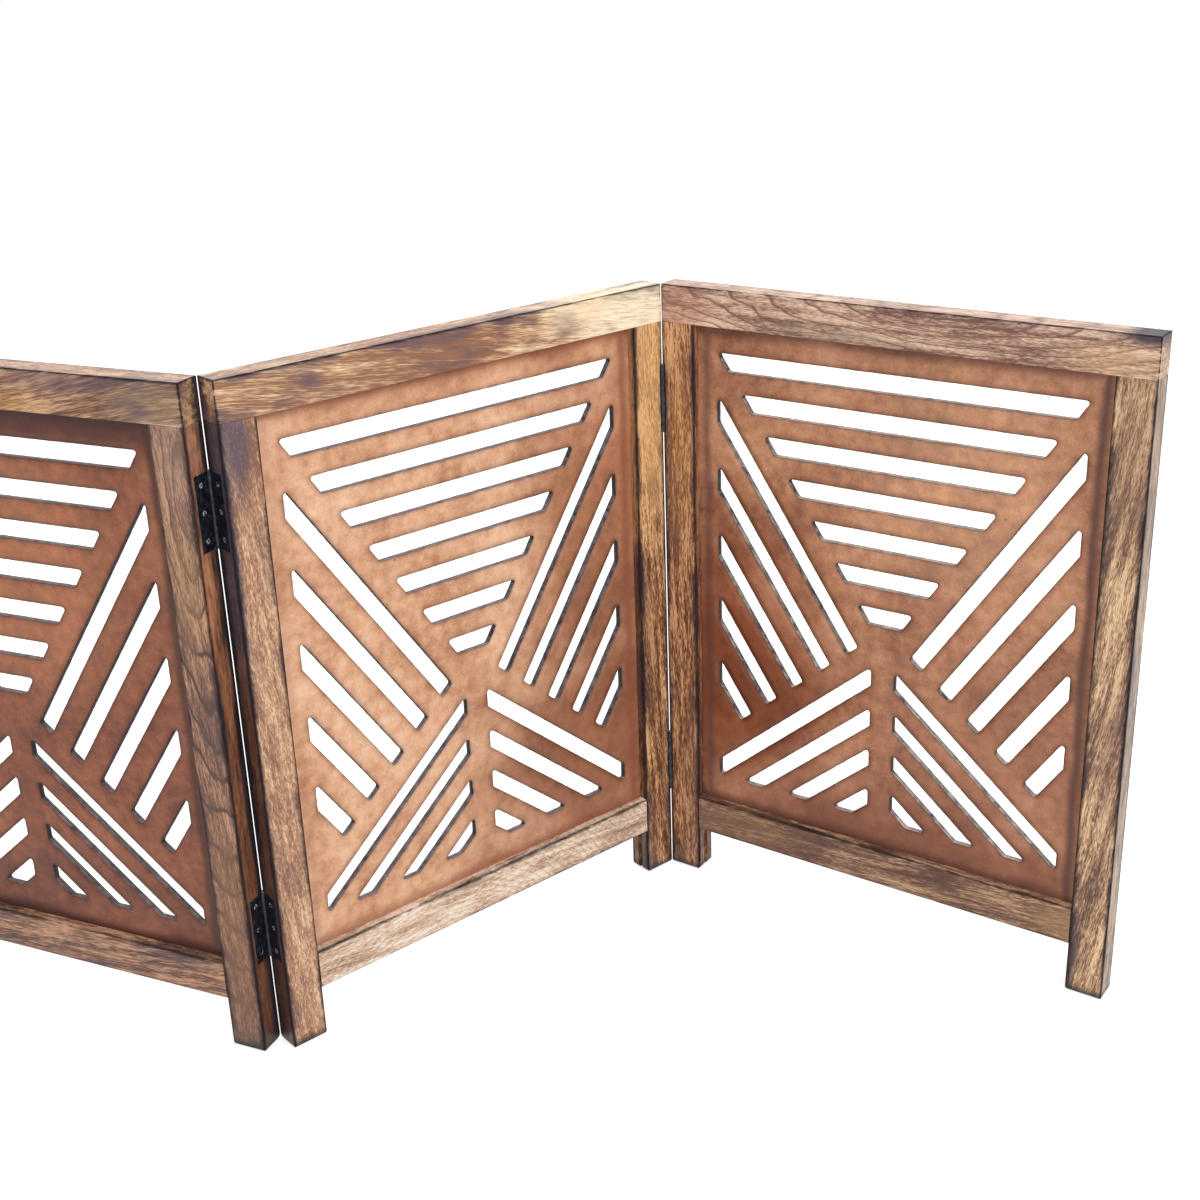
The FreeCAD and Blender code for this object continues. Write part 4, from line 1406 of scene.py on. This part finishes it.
# The wood and the figure of each frame member
MEMBERS: dict[str, dict[str, tuple[MangoWood, Figure]]] = {
    "left": {
        "top_rail": (SMOKED, Figure(
            1.3, ((0.0, 0.5), (0.55, 0.5), (0.7, 0.6), (0.85, 0.5), (1.0, 0.5)), eye=(120, 6), pitch=6,
            ring=0.35, tilt=-12, glaze=0.6, draw=2.2, scorch=2.6, gap_shade=0.9, washes=(
                Wash("#C8934F", (0.6, -0.1), (0.12, 0.6), 0.45),
                Wash("#6E5560", (0.74, 0.75), (0.16, 0.5), 0.6),
                Wash("#A58A70", (0.95, 0.2), (0.13, 1.0), 0.55), PAINTED_TOP_HIGHLIGHT, GLUE_LINE))),
        "bottom_rail": (WALNUT, Figure(
            2.7, ((0.0, 0.5), (1.0, 0.45)), ring=0.2, tilt=-4, glaze=0.35, contrast=1.2, draw=1.5)),
        "left_stile": (WALNUT, Figure(3.1, eye=(400, -10), pitch=8, ring=0.5, glaze=0.5)),
        "right_stile": (WALNUT, Figure(
            4.6, ((0.0, 0.5), (0.3, 0.45), (0.6, 0.38), (0.75, 0.5), (1.0, 0.65)), eye=(225, 8), pitch=8,
            stretch=4.5, ring=1.4, glaze=0.25, scorch=5.0, gap_shade=0.95, side=0.85,
            side_colours=("#552619", "#AC7250"), washes=(
                Wash("#A58173", (0.93, 0.0), (0.12, 1.6), 0.5),
                Wash("#B98F66", (0.74, 0.0), (0.14, 1.5), 0.4),
                Wash("#9C6E4C", (0.2, 0.2), (0.32, 1.4), 0.45), DARK_FOOT))),
    },
    "middle": {
        "top_rail": (HONEY, Figure(
            5.2, ((0.0, 0.3), (0.18, 0.35), (0.32, 0.12), (0.52, 0.1), (0.66, 0.55), (0.8, 0.75), (1.0, 0.9)),
            ring=0.2, tilt=9, glaze=0.8, draw=2.0, scorch=2.4, gap_shade=0.9, washes=(
                Wash("#7C6470", (0.75, 0.4), (0.05, 0.6), 0.45),
                Wash("#FFEFD2", (0.93, 0.2), (0.16, 1.2), 0.85),
                # A weaker painted highlight along the top face and its arris
                Wash("#E2C8BC", (0.5, 1.04), (20.0, 0.06), 0.35)))),
        "bottom_rail": (LINEN, Figure(
            6.4, ((0.0, 0.55), (1.0, 0.6)), eye=(-60, -60), pitch=5, stretch=1.5, ring=0.5, tilt=3, glaze=0.2,
            draw=0.8)),
        "left_stile": (TOFFEE, Figure(
            7.5, ((0.0, 0.5), (0.5, 0.42), (0.78, 0.52), (0.88, 0.3), (1.0, 0.1)), ring=0.12, tilt=5,
            glaze=0.3, scorch=5.0, draw=0.6, gap_shade=0.95, side=0.9,
            side_colours=("#3A1C18", "#6A4028"), washes=(
                Wash("#554E5C", (0.95, -0.4), (0.1, 1.3), 0.75),
                Wash("#4E4854", (0.8, -1.1), (0.28, 0.5), 0.85), DARK_FOOT))),
        "right_stile": (CHESTNUT, Figure(
            8.8, ((0.0, 0.4), (0.5, 0.42), (0.72, 0.7), (1.0, 0.8)), ring=0.2, glaze=0.35, scorch=5.0,
            side=0.6, contrast=1.3, washes=(
                Wash("#E6B478", (0.85, 0.1), (0.24, 1.4), 0.75),
                Wash("#7A5844", (0.45, -0.5), (0.16, 1.0), 0.4), DARK_FOOT))),
    },
    "right": {
        "top_rail": (ROSY, Figure(
            11.2, ((0.0, 0.6), (0.5, 0.45), (1.0, 0.5)), eye=(60, 30), pitch=6, stretch=6, ring=1.0, tilt=0,
            glaze=0.2, scorch=1.6, washes=(
                Wash("#B27C66", (0.04, 0.2), (0.12, 1.2), 0.45),
                Wash("#93866F", (0.4, -0.1), (0.2, 0.5), 0.4),
                Wash("#CFA679", (0.93, 0.1), (0.12, 0.8), 0.5), PAINTED_TOP_HIGHLIGHT, GLUE_LINE,
                Wash("#2E2A33", (0.985, 1.0), (0.06, 0.4), 0.95)))),
        "bottom_rail": (UMBER, Figure(
            12.4, ((0.0, 0.4), (1.0, 0.4)), ring=0.25, tilt=-3, glaze=0.0, contrast=1.2, draw=1.3, washes=(
                Wash("#A27C5A", (0.16, 0.0), (0.2, 1.4), 0.4),
                Wash("#BC9668", (0.94, -0.1), (0.12, 1.2), 0.5)))),
        "left_stile": (RUSSET, Figure(
            13.5, ((0.0, 0.4), (1.0, 0.6)), ring=0.3, tilt=1, glaze=0.35, side=0.6, contrast=1.3,
            scorch=5.0, washes=(
                Wash("#C08E58", (0.75, 0.0), (0.25, 1.4), 0.35),
                Wash("#7A4E3C", (0.2, 0.5), (0.2, 1.0), 0.4), DARK_FOOT))),
        "right_stile": (OAK_BROWN, Figure(
            14.8, ((0.0, 0.42), (0.3, 0.42), (1.0, 0.5)), ring=0.1, tilt=-9, glaze=0.25, contrast=1.2,
            scorch=5.0, side=0.8, side_colours=("#96806C", "#9C8470"), washes=(
                Wash("#8C6656", (0.4, 0.4), (0.2, 1.0), 0.45),
                Wash("#8E6A52", (0.86, 0.3), (0.2, 1.4), 0.5),
                Wash("#49333A", (0.05, -1.0), (0.1, 0.8), 0.75), DARK_FOOT))),
    },
}

# The board of each panel and the walls of its slots
BOARDS: dict[str, tuple[StainedBoard, RoutedWall]] = {
    "left": (
        StainedBoard(
            "left", body="#90553D", light="#AE7052", shade="#6A392D", spray_levels=(0.75, 0.75, 0.9, 1.0),
            spray_colour="#452420", washes=(
                Wash("#B47452", (0.15, 0.45), (0.8, 0.7), 0.95),
                Wash("#7A4A3A", (0.4, -0.85), (1.0, 0.4), 0.65),
                Wash("#572A26", (0.2, 1.0), (1.5, 0.2), 0.9))),
        RoutedWall("left", torn="#43393B", dust_and_top_light="#85797C")),
    "middle": (
        StainedBoard(
            "middle", body="#E1AC88", light="#F5CAA9", shade="#BE8564", spray_levels=(0.2, 0.7, 0.6, 0.75),
            spray_colour="#94553C", rim_level=0.85, washes=(
                Wash("#AC7252", (0.9, 0.35), (0.95, 1.1), 0.95),
                Wash("#9A6448", (0.75, -0.65), (1.15, 0.85), 1.0),
                Wash("#C48C6C", (-0.1, 1.0), (0.9, 0.16), 0.8))),
        RoutedWall("middle", torn="#463B40", dust_and_top_light="#94868A")),
    "right": (
        StainedBoard(
            "right", body="#BC8463", light="#D7A080", shade="#94624B", spray_levels=(0.6, 0.85, 0.6, 0.7),
            spray_colour="#5E3C38", washes=(
                Wash("#D09A78", (0.35, 0.5), (0.7, 0.6), 0.9),
                Wash("#88492B", (-0.8, -0.4), (0.85, 0.95), 1.0),
                Wash("#A46E54", (0.6, -0.45), (0.8, 0.6), 0.75),
                Wash("#85523F", (0.1, -0.95), (1.4, 0.4), 0.95))),
        RoutedWall("right")),
}


def main() -> None:
    """Build the studio, the panels and the hinges, and report each piece."""
    Studio().build()
    places = {name: PanelPlace(name, math.radians(yaw)) for name, yaw in YAWS.items()}
    board_tree = pierced_board_tree()
    for name, (stain, wall) in BOARDS.items():
        panel = FramedPanel(places[name], stain, wall.make(), board_tree, MEMBERS[name])
        panel.dress_frame()
        panel.build_board()
    leaf_finish = JapannedSteel().make()
    # The pin's wide, pale grey is mostly a painted highlight along the barrel.
    pin_finish_with_highlight = JapannedSteel("japanned_steel_pin_with_painted_highlight", rubbed="#7C7F86", wear=0.62).make()
    screw_finish_with_glint = ScrewSteel().make()
    screw_tree = screw_row_tree()
    for index, (side, level) in enumerate(itertools.product(("left", "right"), ("upper", "lower"))):
        ButtHinge(f"{side}_{level}_hinge", places["middle"], places[side], leaf_finish, pin_finish_with_highlight,
                  screw_finish_with_glint, screw_tree, seed=10 * (index + 1)).build()


if __name__ == "__main__":
    main()
